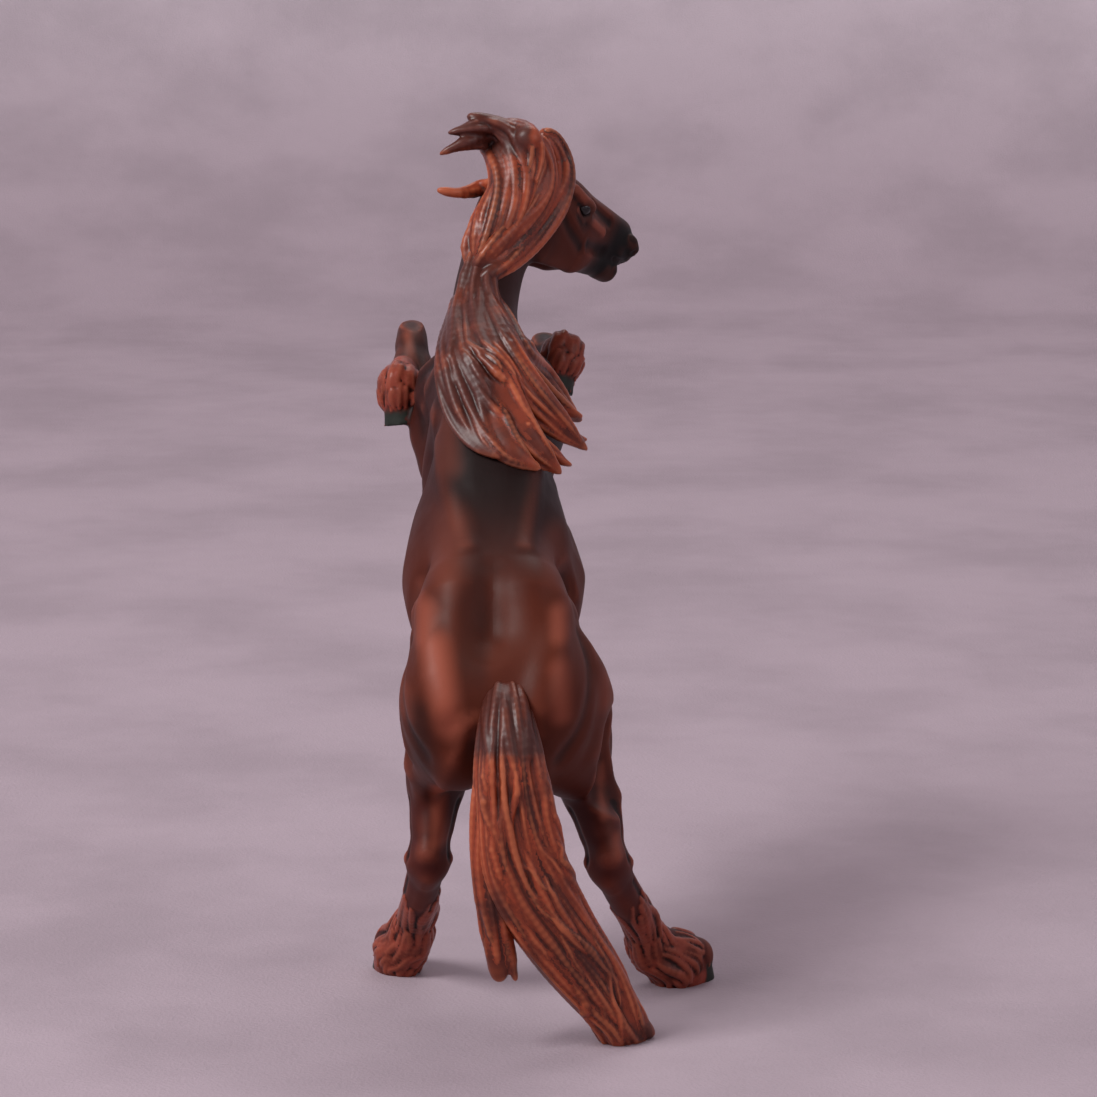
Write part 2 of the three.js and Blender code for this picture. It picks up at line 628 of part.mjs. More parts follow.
const trunkSpace = region([-14, 14], [-24, 32], [LEG_JOINT_HEIGHT - 2, 72]);
const trunkSkin = solid(skin(topForm, ...trunkSpace, TRUNK_CELL));
const aboveLegs = beyond(trunkSkin, at(0, 0, LEG_JOINT_HEIGHT), UP, 0);
const trunkBlank = beyond(aboveLegs, neckJoint, neckRise.clone().negate(), 0);

const cavity = solid(skin(flesh([
  bar(onSpine(0, 0.42, 0.14), onSpine(0, 0.6, 0.15),
    [BARREL_DEPTH * 0.43 - BODY_WALL, BARREL_DEPTH * 0.46 - BODY_WALL],
    [BARREL_WIDTH * 0.43 - BODY_WALL, BARREL_WIDTH * 0.47 - BODY_WALL]),
  bar(onSpine(0, 0.6, 0.15), onSpine(0, 0.92, 0.12),
    [BARREL_DEPTH * 0.46 - BODY_WALL, BARREL_DEPTH * 0.42 - BODY_WALL],
    [BARREL_WIDTH * 0.47 - BODY_WALL, CHEST_WIDTH * 0.46 - BODY_WALL]),
], 1), ...region([-12, 12], [-20, 32], [20, 70]), CAVITY_CELL));

function legPieces(bones, side) {
  const leg = joined(1.6, side > 0 ? leftThigh : rightThigh, gaskin(bones, side), cannonAndHoof(bones, side));
  const span = side > 0 ? [0.5, 16] : [-25, -0.5];
  const skinned = solid(skin(leg, ...region(span, [-22, 12], [-2, LEG_JOINT_HEIGHT + 2]), LEG_CELL));
  const cut = beyond(beyond(skinned, at(0, 0, 0), UP, 0), at(0, 0, LEG_JOINT_HEIGHT), UP.clone().negate(), 0);
  const shin = bones.stifle.clone().sub(bones.hock).normalize();
  const joint = bones.hock.clone().addScaledVector(shin, (LEG_JOINT_HEIGHT - bones.hock.z) / shin.z);
  return { cut: mainBody(cut), ...pinned(joint, shin, WIRE_LENGTH, WIRE_RADIUS) };
}

const leftLeg = legPieces(leftHind, 1);
const rightLeg = legPieces(rightHind, -1);

const neckSkin = solid(skin(coatForm, ...region([-20, 12], [2, 46], [52, 88]), NECK_CELL));
const neckAbove = beyond(neckSkin, neckJoint, neckRise, SEAM_GAP);
const neckBlank = beyond(neckAbove, headJoint, headRise.clone().negate(), 0);
const headSkin = solid(skin(neckAndHead, ...region([-20, 12], [2, 46], [58, 88]), HEAD_CELL));
const headBlank = beyond(headSkin, headJoint, headRise, SEAM_GAP);

const neckPin = pinned(neckJoint, neckRise, DOWEL_LENGTH, DOWEL_RADIUS);
const headPin = pinned(headJoint, headRise, DOWEL_LENGTH, DOWEL_RADIUS);
const frontPin = pinned(onBack(0, 1.04, 0.2), X_AXIS, DOWEL_LENGTH, DOWEL_RADIUS);
const rearPin = pinned(onCroup(0, 0.06, 0), X_AXIS, DOWEL_LENGTH, DOWEL_RADIUS);

// The space that the castings and a seam round them take up: hair and forelegs are cut back from it
const headRoom = skin(grown(headForm, SEAM_GAP), ...region([-20, 12], [2, 46], [58, 88]), HEAD_CELL * 0.8);
const bodyRoom = skin(grown(coatForm, SEAM_GAP), ...region([-20, 14], [-24, 44], [20, 88]), ENVELOPE_CELL);
const envelope = solid(bodyRoom).add(solid(headRoom));

function forelegPieces(bones) {
  const { elbow, knee } = bones;
  const span = [Math.min(elbow.x, bones.sole.x) - 7, Math.max(elbow.x, bones.sole.x) + 7];
  const skinned = solid(skin(forelegForm(bones), ...region(span, [6, 46], [36, 72]), FORELEG_CELL));
  const forearm = knee.clone().sub(elbow).normalize();
  return {
    cut: mainBody(skinned.subtract(envelope)),
    ...pinned(between(elbow, knee, 0.16), forearm, DOWEL_LENGTH, WIRE_RADIUS),
  };
}

const leftForeleg = forelegPieces(leftFore);
const rightForeleg = forelegPieces(rightFore);

// Hair

const TO_BEHIND = at(0, -1, 0.35);
const TO_RIGHT = at(-0.8, -0.7, 0.3);
const path = (...points) => points.map((point) => at(...point));

// Hair lies on the coat: a point near the skin moves forward or back until it is `HAIR_LIFT` outside it
function settled(point) {
  const step = 0.1;
  const start = point.y + HAIR_REACH;
  for (let y = start; y > point.y - HAIR_REACH; y -= step) {
    const inside = coatForm(point.x, y, point.z) < HAIR_LIFT;
    if (inside && y < start) return new THREE.Vector3(point.x, y, point.z);
    if (inside) return point;
  }
  return point;
}

const laid = (...points) => path(...points).map(settled);

const tailCore = joinAll([
  lock(path(
    [-1.2, -19.6, 34], [-1.5, -22.8, 31.4], [-1.7, -24.2, 27.8], [-2.2, -24.4, 21],
    [-4.2, -24, 15.4], [-7.5, -22.6, 10.6], [-10.6, -21, 5.2], [-13.2, -19.7, -0.6],
  ), TAIL_WIDTH, HAIR_THICKNESS * 1.6, TO_BEHIND, [0.5, 1, 0.5]),
  lock(path(
    [-2.4, -20, 33.6], [-3.8, -23, 30], [-4.5, -24, 24], [-5.4, -23.6, 18], [-7.8, -22.4, 12],
    [-11.4, -20.6, 5.4], [-13.6, -19.9, 2.2],
  ), TAIL_WIDTH * 0.4, HAIR_THICKNESS * 1.3, TO_BEHIND),
  lock(path(
    [-0.2, -20.4, 33.4], [0.2, -23.4, 30], [0.2, -25, 24], [-0.4, -25, 17], [-4, -24.2, 10.6],
    [-8.4, -22, 4.4], [-10.6, -21, 2.2],
  ), TAIL_WIDTH * 0.4, HAIR_THICKNESS * 1.3, TO_BEHIND),
]);

const tailSide = joinAll([
  lock(path(
    [0.9, -22.6, 29], [0.9, -24, 24], [0.4, -24.4, 18], [-0.5, -24.2, 13], [-2.6, -23.4, 7.6],
  ), 2.2, HAIR_THICKNESS * 0.8, TO_BEHIND),
  lock(path(
    [1.2, -23, 27], [0.9, -23.8, 21], [0.6, -23.8, 14], [-0.3, -23.4, 8.4],
  ), 1.7, HAIR_THICKNESS * 0.7, TO_BEHIND),
]);

const upperMane = joinAll([
  lock(laid(
    [1.6, 10.8, 68.6], [-0.2, 13.4, 72.5], [-1, 15.6, 76], [-0.8, 17, 78.6], [0.4, 17.6, 80.6],
    [2.6, 17.4, 81], [5.4, 16.8, 79.6],
  ), 2, HAIR_THICKNESS * 0.8, TO_BEHIND),
  lock(laid(
    [1, 11.2, 69.4], [-1.7, 14.6, 73.3], [-2, 16.4, 77.2], [-1.4, 17.6, 79.7], [-0.2, 18, 81.5],
    [1.9, 17.8, 82.3], [4.5, 17.4, 81.7],
  ), 2.1, HAIR_THICKNESS * 0.8, TO_BEHIND),
  lock(laid(
    [-1.6, 14, 73], [-3.2, 16.8, 77], [-2.8, 18.4, 80.4], [-1.1, 19, 81.9], [1, 18.8, 82.9],
    [2.4, 18.6, 83.2],
  ), 2.4, HAIR_THICKNESS, TO_BEHIND),
  lock(laid(
    [-3.4, 17, 77.4], [-3.8, 19, 80.4], [-3.3, 20, 81.8], [-2, 20.2, 82.3], [-0.6, 19.8, 82.2],
  ), 2.6, HAIR_THICKNESS, TO_BEHIND),
  lock(laid(
    [0.9, 15.6, 75.2], [2, 14.4, 72.9], [3, 13.4, 71.2], [2.9, 12.2, 69.6], [2.6, 10.8, 67.6],
  ), 2, HAIR_THICKNESS * 0.8, TO_BEHIND),
]);

const cheekLock = joinAll([
  lock(laid(
    [-4.8, 19.8, 81.4], [-5.7, 20.8, 80.8], [-6.6, 22, 78.7], [-6.9, 22.2, 76.6], [-6.1, 21, 74.4],
    [-4.2, 18.4, 71.8], [-1.7, 15, 69.8], [0.9, 12, 68.1], [2.6, 10.4, 66.6],
  ), 2.2, HAIR_THICKNESS * 0.9, TO_RIGHT),
  lock(laid(
    [-4.6, 19.4, 80.8], [-5.3, 20.2, 78], [-4.6, 19.2, 75.4], [-2.9, 16.6, 73.2],
    [-0.5, 13.6, 71.2], [1.6, 11.4, 69.4], [2.5, 10.6, 68],
  ), 2.4, HAIR_THICKNESS * 0.9, TO_RIGHT),
]);

const flyingLock = lock(laid(
  [-0.6, 15.6, 77], [1.6, 16, 76], [3.8, 16, 75.8], [5.8, 15.6, 76.3],
), 1.5, HAIR_THICKNESS * 0.6, TO_BEHIND, [0.8, 1, 0.6]);

const withersMane = joinAll([
  lock(laid(
    [3, 8.8, 66.4], [-0.1, 7, 65.2], [-2.4, 5.6, 61.6], [-5, 6.3, 58.1], [-7.8, 8.4, 54.5],
    [-8.7, 9, 53.4],
  ), 2.6, HAIR_THICKNESS, TO_RIGHT),
  lock(laid(
    [3.3, 8.3, 65.9], [0.6, 4.6, 62.4], [-2.4, 2.4, 58.8], [-5.9, 3.4, 55], [-8.9, 5.4, 51.6],
  ), 3.4, HAIR_THICKNESS, TO_BEHIND),
  lock(laid(
    [3.6, 8, 65.4], [1.8, 3.8, 61.2], [-0.8, 0.4, 56.8], [-4.3, -0.8, 52.7], [-6.2, 0, 50],
  ), 3.6, HAIR_THICKNESS, TO_BEHIND),
  lock(laid(
    [3.9, 8, 64.6], [3, 4, 60.7], [1.1, 0, 56.4], [-1.8, -2.2, 52.6], [-4.8, -1.6, 51],
  ), 3.4, HAIR_THICKNESS * 0.9, TO_BEHIND),
  lock(laid(
    [4.3, 8, 63.6], [4.5, 4.4, 59.6], [3.6, 0.6, 55.7], [1.7, -1.4, 53.4], [-0.4, -2.2, 52.2],
  ), 3, HAIR_THICKNESS * 0.8, TO_BEHIND),
]);

const tailPin = pinned(at(-1.2, -19.4, 33), at(0, -1, -0.2), WIRE_LENGTH * 0.6, WIRE_RADIUS);

function spaced(hair, ...others) {
  return mainBody(others.reduce((rest, other) => rest.subtract(other), hair));
}

// Assembly

const body = 0x4a2119;
const legs = 0x3f1c15;
const hair = 0x7c3b22;
const metal = 0x9a9a98;

const bores = joinAll([
  neckPin.bore, frontPin.bore, rearPin.bore, tailPin.bore,
  leftLeg.bore, rightLeg.bore, leftForeleg.bore, rightForeleg.bore,
]);
const trunk = trunkBlank.subtract(cavity).subtract(bores);

const pieces = [
  ['body_left_shell', mainBody(trunk.trimByPlane([1, 0, 0], 0)), body, 0.42],
  ['body_right_shell', mainBody(trunk.trimByPlane([-1, 0, 0], 0)), body, 0.42],
  ['body_front_dowel', frontPin.pin, metal, 0.5],
  ['body_rear_dowel', rearPin.pin, metal, 0.5],
  ['neck', mainBody(neckBlank.subtract(neckPin.bore).subtract(headPin.bore)), body, 0.42],
  ['neck_dowel', neckPin.pin, metal, 0.5],
  ['head', mainBody(headBlank.subtract(headPin.bore)), body, 0.42],
  ['head_dowel', headPin.pin, metal, 0.5],
  ['left_foreleg', mainBody(leftForeleg.cut.subtract(leftForeleg.bore)), legs, 0.45],
  ['left_foreleg_wire', leftForeleg.pin, metal, 0.4],
  ['right_foreleg', mainBody(rightForeleg.cut.subtract(rightForeleg.bore)), legs, 0.45],
  ['right_foreleg_wire', rightForeleg.pin, metal, 0.4],
  ['left_hind_leg', mainBody(leftLeg.cut.subtract(leftLeg.bore)), legs, 0.45],
  ['left_hind_wire', leftLeg.pin, metal, 0.4],
  ['right_hind_leg', mainBody(rightLeg.cut.subtract(rightLeg.bore)), legs, 0.45],
  ['right_hind_wire', rightLeg.pin, metal, 0.4],
  ['tail_main_lock', spaced(tailCore.subtract(envelope).trimByPlane([0, 0, 1], 0), tailPin.bore), hair, 0.5],
  ['tail_side_lock', spaced(tailSide, envelope, tailCore), hair, 0.5],
  ['tail_wire', tailPin.pin, metal, 0.4],
  ['mane_upper_sweep', spaced(upperMane, envelope), hair, 0.5],
  ['mane_cheek_lock', spaced(cheekLock, envelope, upperMane), hair, 0.5],
  ['mane_flying_lock', spaced(flyingLock, envelope, upperMane), hair, 0.5],
  ['mane_withers_fall', spaced(withersMane, envelope, upperMane, cheekLock), hair, 0.5],
];

function pieceMesh([name, casting, colour, roughness]) {
  const { vertProperties, triVerts } = casting.getMesh();
  const geometry = new THREE.BufferGeometry();
  geometry.setAttribute('position', new THREE.Float32BufferAttribute(vertProperties, 3));
  geometry.setIndex(Array.from(triVerts));
  geometry.computeVertexNormals();
  const metalness = colour === metal ? 1 : 0;
  const material = new THREE.MeshStandardMaterial({ color: colour, roughness, metalness });
  const mesh = new THREE.Mesh(geometry, material);
  mesh.name = name;
  return mesh;
}

const horse = new THREE.Group();
pieces.forEach((piece) => horse.add(pieceMesh(piece)));

// The origin is the middle of the footprint, on the ground
const bounds = new THREE.Box3().setFromObject(horse);
const middle = bounds.getCenter(new THREE.Vector3());
horse.position.set(-middle.x, -middle.y, -bounds.min.z);
horse.updateMatrixWorld(true);

export default horse;
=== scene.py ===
"""Looks of a painted cast model horse that rears with its head turned back.

The castings are sculpted in clay: a grid of cells that says how far each cell lies outside the form.
Muscles are tapered bars blended into the clay, and smaller forms are pressed into its skin. Hair is laid
strand by strand. Points are in millimetres in the horse's own frame, and become metres in the frame of the
model at the end.
"""

import math
from collections import namedtuple

import bmesh
import bpy
import numpy as np
import openvdb
from bpy.props import FloatProperty, FloatVectorProperty, IntProperty, PointerProperty
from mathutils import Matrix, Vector


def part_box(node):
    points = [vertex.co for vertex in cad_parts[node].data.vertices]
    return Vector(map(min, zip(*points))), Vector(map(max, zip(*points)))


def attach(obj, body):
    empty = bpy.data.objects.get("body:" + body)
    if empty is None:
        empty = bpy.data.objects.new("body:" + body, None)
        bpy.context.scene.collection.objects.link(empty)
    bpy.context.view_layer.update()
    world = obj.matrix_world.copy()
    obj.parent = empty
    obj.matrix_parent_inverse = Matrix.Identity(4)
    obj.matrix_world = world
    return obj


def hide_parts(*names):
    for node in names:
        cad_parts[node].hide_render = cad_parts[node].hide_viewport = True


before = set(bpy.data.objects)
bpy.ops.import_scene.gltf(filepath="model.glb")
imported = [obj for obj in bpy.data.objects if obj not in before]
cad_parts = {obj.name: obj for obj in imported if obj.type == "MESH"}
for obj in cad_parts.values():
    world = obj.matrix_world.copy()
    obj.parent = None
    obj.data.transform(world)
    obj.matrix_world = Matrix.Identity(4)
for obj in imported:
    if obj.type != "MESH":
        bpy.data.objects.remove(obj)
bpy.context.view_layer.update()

bl_info = {
    "name": "Cast model horse",
    "version": (1, 0, 0),
    "blender": (4, 5, 0),
    "location": "View3D > Sidebar > Horse",
    "description": "Sculpts and paints a rearing model horse around its castings",
    "category": "Object",
}

BODY = "root"
MM = 0.001


# Sizes and colours that a user would change

def colour(label, text, value):
    return FloatVectorProperty(
        name=label, description=text, subtype="COLOR", size=3, min=0, max=1, default=srgb(value),
    )


def srgb(hex_code):
    """A colour written as on a paint chart, in the linear values that shaders take."""
    parts = [int(hex_code[i:i + 2], 16) / 255 for i in (0, 2, 4)]
    return tuple(c / 12.92 if c <= 0.04045 else ((c + 0.055) / 1.055) ** 2.4 for c in parts)


def length(label, text, value):
    return FloatProperty(name=label, description=text, unit="LENGTH", default=value, min=0)


class HorseSculpt(bpy.types.PropertyGroup):
    """How finely and how strongly the horse is sculpted."""
    body_cell: length("Body cell", "Size of the clay's cells on the trunk", 0.00036)
    leg_cell: length("Leg cell", "Size of the clay's cells on the legs", 0.00022)
    head_cell: length("Head cell", "Size of the clay's cells on the head", 0.00017)
    hair_cell: length("Hair cell", "Size of the clay's cells in the mane and tail", 0.00015)
    relief: FloatProperty(
        name="Muscle relief", description="How far muscles and hollows stand out", default=1, min=0, max=2,
    )
    strand_width: length("Strand width", "Width of one carved strand of hair", 0.0006)
    wisps: IntProperty(name="Seed", description="Picks how the strands wander", default=5, min=0)


class HorsePaint(bpy.types.PropertyGroup):
    """The paints of the horse and the room, with the painted shade and painted highlight of coat and hair.
    """
    coat: colour("Coat", "Liver chestnut of the body", "33120e")
    # Painted shade: the wash in hollows and grooves and the painted shadow under the mane; also dark flecks
    # in the eyes
    dark_coat_and_shade: colour("Dark coat", "Coat in hollows and under the mane", "150908")
    # Painted highlight: airbrushed lighter coat on the crests of the muscles, also drybrushed on the ridges
    airbrushed_highlight: colour("Airbrushed light", "Lighter coat on the crests of the muscles", "8e4a38")
    haunch: colour("Haunch", "Redder coat of the haunches and thighs", "52200f")
    leg: colour("Leg", "Dark coat of the lower legs", "401611")
    feather: colour("Feathers", "Long hair round the hooves", "843a2c")
    muzzle: colour("Muzzle", "Bare skin of the muzzle", "121010")
    hoof: colour("Hoof", "Horn of the hooves", "262a25")
    hair: colour("Hair", "Copper of the mane and tail", "8a3a22")
    hair_shade: colour("Dark hair", "Brown at the roots and tips", "431c14")
    # Painted shade: a wash in the grooves between the strands; also dark patches in the feathers
    dark_hair_and_groove_shade: colour("Hair grooves", "Wash between the strands", "200d0a")
    # Painted highlight drybrushed on the ridges of the copper hair
    hair_ridge_highlight: colour("Hair ridges", "Bright strands", "c67049")
    # Painted highlight drybrushed on the ridges of the dark hair
    dark_hair_ridge_highlight: colour("Dark hair ridge highlight", "Pale paint dragged over the dark hair", "683c33")
    pin: colour("Pins", "Steel of the dowels and wires", "9a9a98")
    floor: colour("Floor", "Cloth that the horse stands on", "a1929a")
    backdrop: colour("Backdrop", "Wall behind the horse", "d0c5cc")


# Places: out to the horse's left, forward and up

X_AXIS = np.array([1.0, 0, 0])


def at(left, forward, up):
    return np.array([left, -forward, up], float)


def between(a, b, share):
    return a + (b - a) * share


def unit(v):
    return v / np.linalg.norm(v)


HIP_HEIGHT = 31.5
HIP_SET_BACK = 12.5
HIP_SPREAD = 4.9
BACK_PITCH = math.radians(42)
CROUP_PITCH = math.radians(46)
BACK_LENGTH = 36
BARREL_WIDTH = 16.6
BARREL_DEPTH = 22
CHEST_WIDTH = 10.4
SHOULDER_WIDTH = 14.2
SPINE_SWAY = 1


def body_frame(pitch):
    """A frame on the hips: shares of the back's length along it, and of the barrel's depth down."""
    along = at(0, math.cos(pitch), math.sin(pitch)) * BACK_LENGTH
    down = at(0, math.sin(pitch), -math.cos(pitch)) * BARREL_DEPTH
    return lambda left, share, depth: at(left, -HIP_SET_BACK, HIP_HEIGHT) + along * share + down * depth


on_back = body_frame(BACK_PITCH)
on_croup = body_frame(CROUP_PITCH)


def smoothstep(value, low, high):
    t = np.clip((value - low) / (high - low), 0, 1)
    return t * t * (3 - 2 * t)


def sway(share):
    return SPINE_SWAY * smoothstep(share, 0.3, 0.9)


def on_spine(left, share, depth):
    return on_back(left + sway(share), share, depth)


def swayed(point):
    """The spine sways: the shoulders stand a little to the left of the hips."""
    along = (HIP_SET_BACK - point[1]) * math.cos(BACK_PITCH) + (point[2] - HIP_HEIGHT) * math.sin(BACK_PITCH)
    return point + X_AXIS * sway(along / BACK_LENGTH)


HEAD_WIDTH = 6.6
HEAD_LENGTH = 19
HEAD_TURN = math.radians(40)
HEAD_DROP = math.radians(21)
POLL = at(-2.5, 20.7, 78.4)
HEAD_LEFT = at(math.cos(HEAD_TURN), math.sin(HEAD_TURN), 0)
HEAD_FORWARD = at(-math.sin(HEAD_TURN) * math.cos(HEAD_DROP), math.cos(HEAD_TURN) * math.cos(HEAD_DROP),
                  -math.sin(HEAD_DROP))
HEAD_UP = -np.cross(HEAD_LEFT, HEAD_FORWARD)


def on_head(left, share, down):
    return (POLL + HEAD_LEFT * left * HEAD_WIDTH + HEAD_FORWARD * share * HEAD_LENGTH
            - HEAD_UP * down * HEAD_LENGTH)


def model_origin():
    """Where the horse's own origin lies in the model, read from the dowel through its shoulders."""
    low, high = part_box("body_front_dowel")
    return np.array((low + high) / 2) / MM - on_back(0, 1.04, 0.2)


ORIGIN = model_origin()


def in_model(points):
    return (np.asarray(points) + ORIGIN) * MM


# Clay

Bar = namedtuple("Bar", "start end deep wide across")

# What an empty cell says, and how far round a blended bar its distances are worked out
FAR = 6.0
BAND = 1.2
# A step onto the skin is worked out from no smaller square of the slope than this
LEAST_STEEPNESS = 0.05


def bar(start, end, deep, wide=None, across=X_AXIS):
    """A round tapered bar, `deep` at its two ends, and `wide` in the direction `across`."""
    deep = np.broadcast_to(np.array(deep, float), 2)
    wide = deep if wide is None else np.broadcast_to(np.array(wide, float), 2)
    return Bar(start, end, deep, wide, across)


def outside_bar(each, x, y, z):
    """How far places lie outside a bar, negative inside it."""
    run = each.end - each.start
    square = run @ run
    ox, oy, oz = x - each.start[0], y - each.start[1], z - each.start[2]
    if square > 0:
        t = np.clip((ox * run[0] + oy * run[1] + oz * run[2]) / square, 0, 1)
        ox, oy, oz = ox - t * run[0], oy - t * run[1], oz - t * run[2]
    else:
        t = 0.0
    radius = each.deep[0] + (each.deep[1] - each.deep[0]) * t
    if each.wide is each.deep:
        return np.sqrt(ox * ox + oy * oy + oz * oz) - radius
    half = each.wide[0] + (each.wide[1] - each.wide[0]) * t
    a = each.across
    stretch = (ox * a[0] + oy * a[1] + oz * a[2]) * (radius / half - 1)
    reach = np.sqrt((ox + a[0] * stretch) ** 2 + (oy + a[1] * stretch) ** 2 + (oz + a[2] * stretch) ** 2)
    return (reach / radius - 1) * np.minimum(radius, half)


def blended(a, b, radius):
    """Two forms as one, with the corner between them filled where they are within `radius` of each other."""
    near = np.maximum(radius - np.abs(a - b), 0) / radius
    return np.minimum(a, b) - near * near * radius / 4


class Clay:
    """A box of cells. Each says how far it lies outside the form, and carries marks for the paint."""

    def __init__(self, low, high, cell, marks=()):
        self.low = np.array(low, float)
        self.cell = cell
        shape = np.ceil((np.array(high) - self.low) / cell).astype(int) + 1
        self.field = np.full(shape, FAR, np.float32)
        self.marks = {name: np.zeros(shape, np.float32) for name in marks}

    def window(self, low, high):
        """The cells between two corners, as slices of the grid and places along its axes, or None."""
        first = np.maximum(np.floor((low - self.low) / self.cell).astype(int), 0)
        last = np.minimum(np.ceil((high - self.low) / self.cell).astype(int) + 1, self.field.shape)
        if (last <= first).any():
            return None
        spans = tuple(slice(a, b) for a, b in zip(first, last))
        axes = [self.low[k] + self.cell * np.arange(first[k], last[k]) for k in range(3)]
        return spans, np.ix_(*(axis.astype(np.float32) for axis in axes))

    def around(self, each, reach):
        """The cells within `reach` of a bar."""
        margin = max(each.deep.max(), each.wide.max()) + reach
        ends = np.array([each.start, each.end])
        return self.window(ends.min(0) - margin, ends.max(0) + margin)

    def add(self, bars, blend, marks=None, sole=None):
        """Adds bars. `sole` is a point and a normal: what lies past that plane is left off."""
        for each in bars:
            flat = max(each.deep.max() / each.wide.min(), 1) if each.wide is not each.deep else 1
            place = self.around(each, (blend + BAND) * flat)
            if place is None:
                continue
            spans, axes = place
            far = outside_bar(each, *axes)
            if sole:
                far = np.maximum(far, sum((axes[k] - sole[0][k]) * sole[1][k] for k in range(3)))
            field = self.field[spans]
            if marks:
                nearer = far < field
                for name, value in marks.items():
                    self.marks[name][spans][nearer] = value
            self.field[spans] = blended(field, far, blend)

    def trim(self, point, normal):
        """Cuts away what lies on the side of a plane that its normal points to."""
        x, y, z = self.window(self.low, self.low + self.cell * np.array(self.field.shape))[1]
        plane = (x - point[0]) * normal[0] + (y - point[1]) * normal[1] + (z - point[2]) * normal[2]
        self.field = np.maximum(self.field, plane.astype(np.float32))

    def press(self, points, radius, height):
        """Raises the skin along a stroke by `height`, fading out to `radius`. A negative height sinks it."""
        points = np.atleast_2d(points)
        radii = np.broadcast_to(np.array(radius, float), len(points))
        margin = radii.max()
        place = self.window(points.min(0) - margin, points.max(0) + margin)
        if place is None:
            return
        spans, (x, y, z) = place
        nearest = np.full(self.field[spans].shape, np.inf, np.float32)
        for i in range(max(len(points) - 1, 1)):
            a, b = points[i], points[min(i + 1, len(points) - 1)]
            ra, rb = radii[i], radii[min(i + 1, len(points) - 1)]
            ox, oy, oz = x - a[0], y - a[1], z - a[2]
            run = b - a
            square = run @ run
            t = np.clip((ox * run[0] + oy * run[1] + oz * run[2]) / square, 0, 1) if square > 0 else 0
            reach = np.sqrt((ox - t * run[0]) ** 2 + (oy - t * run[1]) ** 2 + (oz - t * run[2]) ** 2)
            nearest = np.minimum(nearest, reach / (ra + (rb - ra) * t))
        self.field[spans] -= height * smoothstep(1 - nearest, 0, 1)

    def soften(self, points, radius, width):
        """Smooths the form along a stroke over a distance of `width`, fading out to `radius`."""
        points = np.atleast_2d(points)
        place = self.window(points.min(0) - radius, points.max(0) + radius)
        if place is None:
            return
        spans, (x, y, z) = place
        smooth = self.field[spans].copy()
        rounds = math.ceil(2 * (width / self.cell) ** 2)
        for _ in range(rounds):
            for axis in range(3):
                ends = np.concatenate([smooth.take([0], axis), smooth, smooth.take([-1], axis)], axis)
                n = smooth.shape[axis]
                sides = ends.take(range(n), axis) + ends.take(range(2, n + 2), axis)
                smooth = 0.5 * smooth + 0.25 * sides
        reach = np.minimum.reduce([
            np.sqrt((x - c[0]) ** 2 + (y - c[1]) ** 2 + (z - c[2]) ** 2) for c in points
        ])
        share = smoothstep(1 - reach / radius, 0, 0.6)
        self.field[spans] += (smooth - self.field[spans]) * share

    def blur(self):
        """Rounds every edge a little, as a coat of paint does."""
        for axis in range(3):
            n = self.field.shape[axis]
            inner = self.field.take(range(1, n - 1), axis) * 0.6
            inner += self.field.take(range(0, n - 2), axis) * 0.2
            inner += self.field.take(range(2, n), axis) * 0.2
            middle = tuple(slice(1, -1) if k == axis else slice(None) for k in range(3))
            self.field[middle] = inner

    def corners(self, points):
        """The cell that each point lies in, and how far into it."""
        place = np.clip((points - self.low) / self.cell, 0, np.array(self.field.shape) - 1.001)
        first = place.astype(int)
        return first, place - first

    def value(self, points, field=None):
        """The field between the cells, and which way it rises."""
        field = self.field if field is None else field
        (i, j, k), (u, v, w) = (a.T for a in self.corners(np.atleast_2d(points)))
        c = [[[field[i + a, j + b, k + d] for d in (0, 1)] for b in (0, 1)] for a in (0, 1)]
        low = [[c[a][b][0] * (1 - w) + c[a][b][1] * w for b in (0, 1)] for a in (0, 1)]
        mid = [low[a][0] * (1 - v) + low[a][1] * v for a in (0, 1)]
        rise = np.stack([
            mid[1] - mid[0],
            (low[0][1] - low[0][0]) * (1 - u) + (low[1][1] - low[1][0]) * u,
            sum((c[a][b][1] - c[a][b][0]) * (u if a else 1 - u) * (v if b else 1 - v)
                for a in (0, 1) for b in (0, 1)),
        ], 1) / self.cell
        return mid[0] * (1 - u) + mid[1] * u, rise

    def settle(self, points, lift=0.0):
        """Moves points onto the skin, or `lift` outside it."""
        points = np.atleast_2d(np.array(points, float))
        for _ in range(6):
            far, rise = self.value(points)
            steep = np.maximum((rise ** 2).sum(1), LEAST_STEEPNESS)
            step = np.clip((far - lift) / steep, -1, 1)
            points = points - rise * step[:, None]
        return points

    def skin(self):
        """The closed skin as points and quads, with each point drawn onto the true surface."""
        grid = openvdb.FloatGrid()
        grid.background = FAR
        grid.copyFromArray(np.pad(self.field, 1, constant_values=FAR))
        places, quads = grid.convertToQuads(isovalue=0.0)
        points = self.low + (places.astype(float) - 1) * self.cell
        slopes = np.gradient(self.field, self.cell)
        most = 0.3 * self.cell
        for _ in range(2):
            rise = np.stack([self.value(points, slope)[0] for slope in slopes], 1)
            steep = np.maximum((rise ** 2).sum(1), LEAST_STEEPNESS)
            step = np.clip(self.value(points)[0] / steep, -most, most)
            points = points - rise * step[:, None]
        return points, quads

    def hollow(self, points, reach, depth):
        """One where the form is hollow by `depth` within `reach`, and negative on its ridges."""
        spread = [np.array(d, float) * reach for d in
                  ((1, 0, 0), (-1, 0, 0), (0, 1, 0), (0, -1, 0), (0, 0, 1), (0, 0, -1))]
        middle = self.value(points)[0]
        return (middle - sum(self.value(points + d)[0] for d in spread) / 6) / depth

    def mark(self, name, points):
        """A mark as the cell nearest to each point holds it."""
        first, share = self.corners(points)
        i, j, k = (first + (share > 0.5)).T
        return self.marks[name][i, j, k]


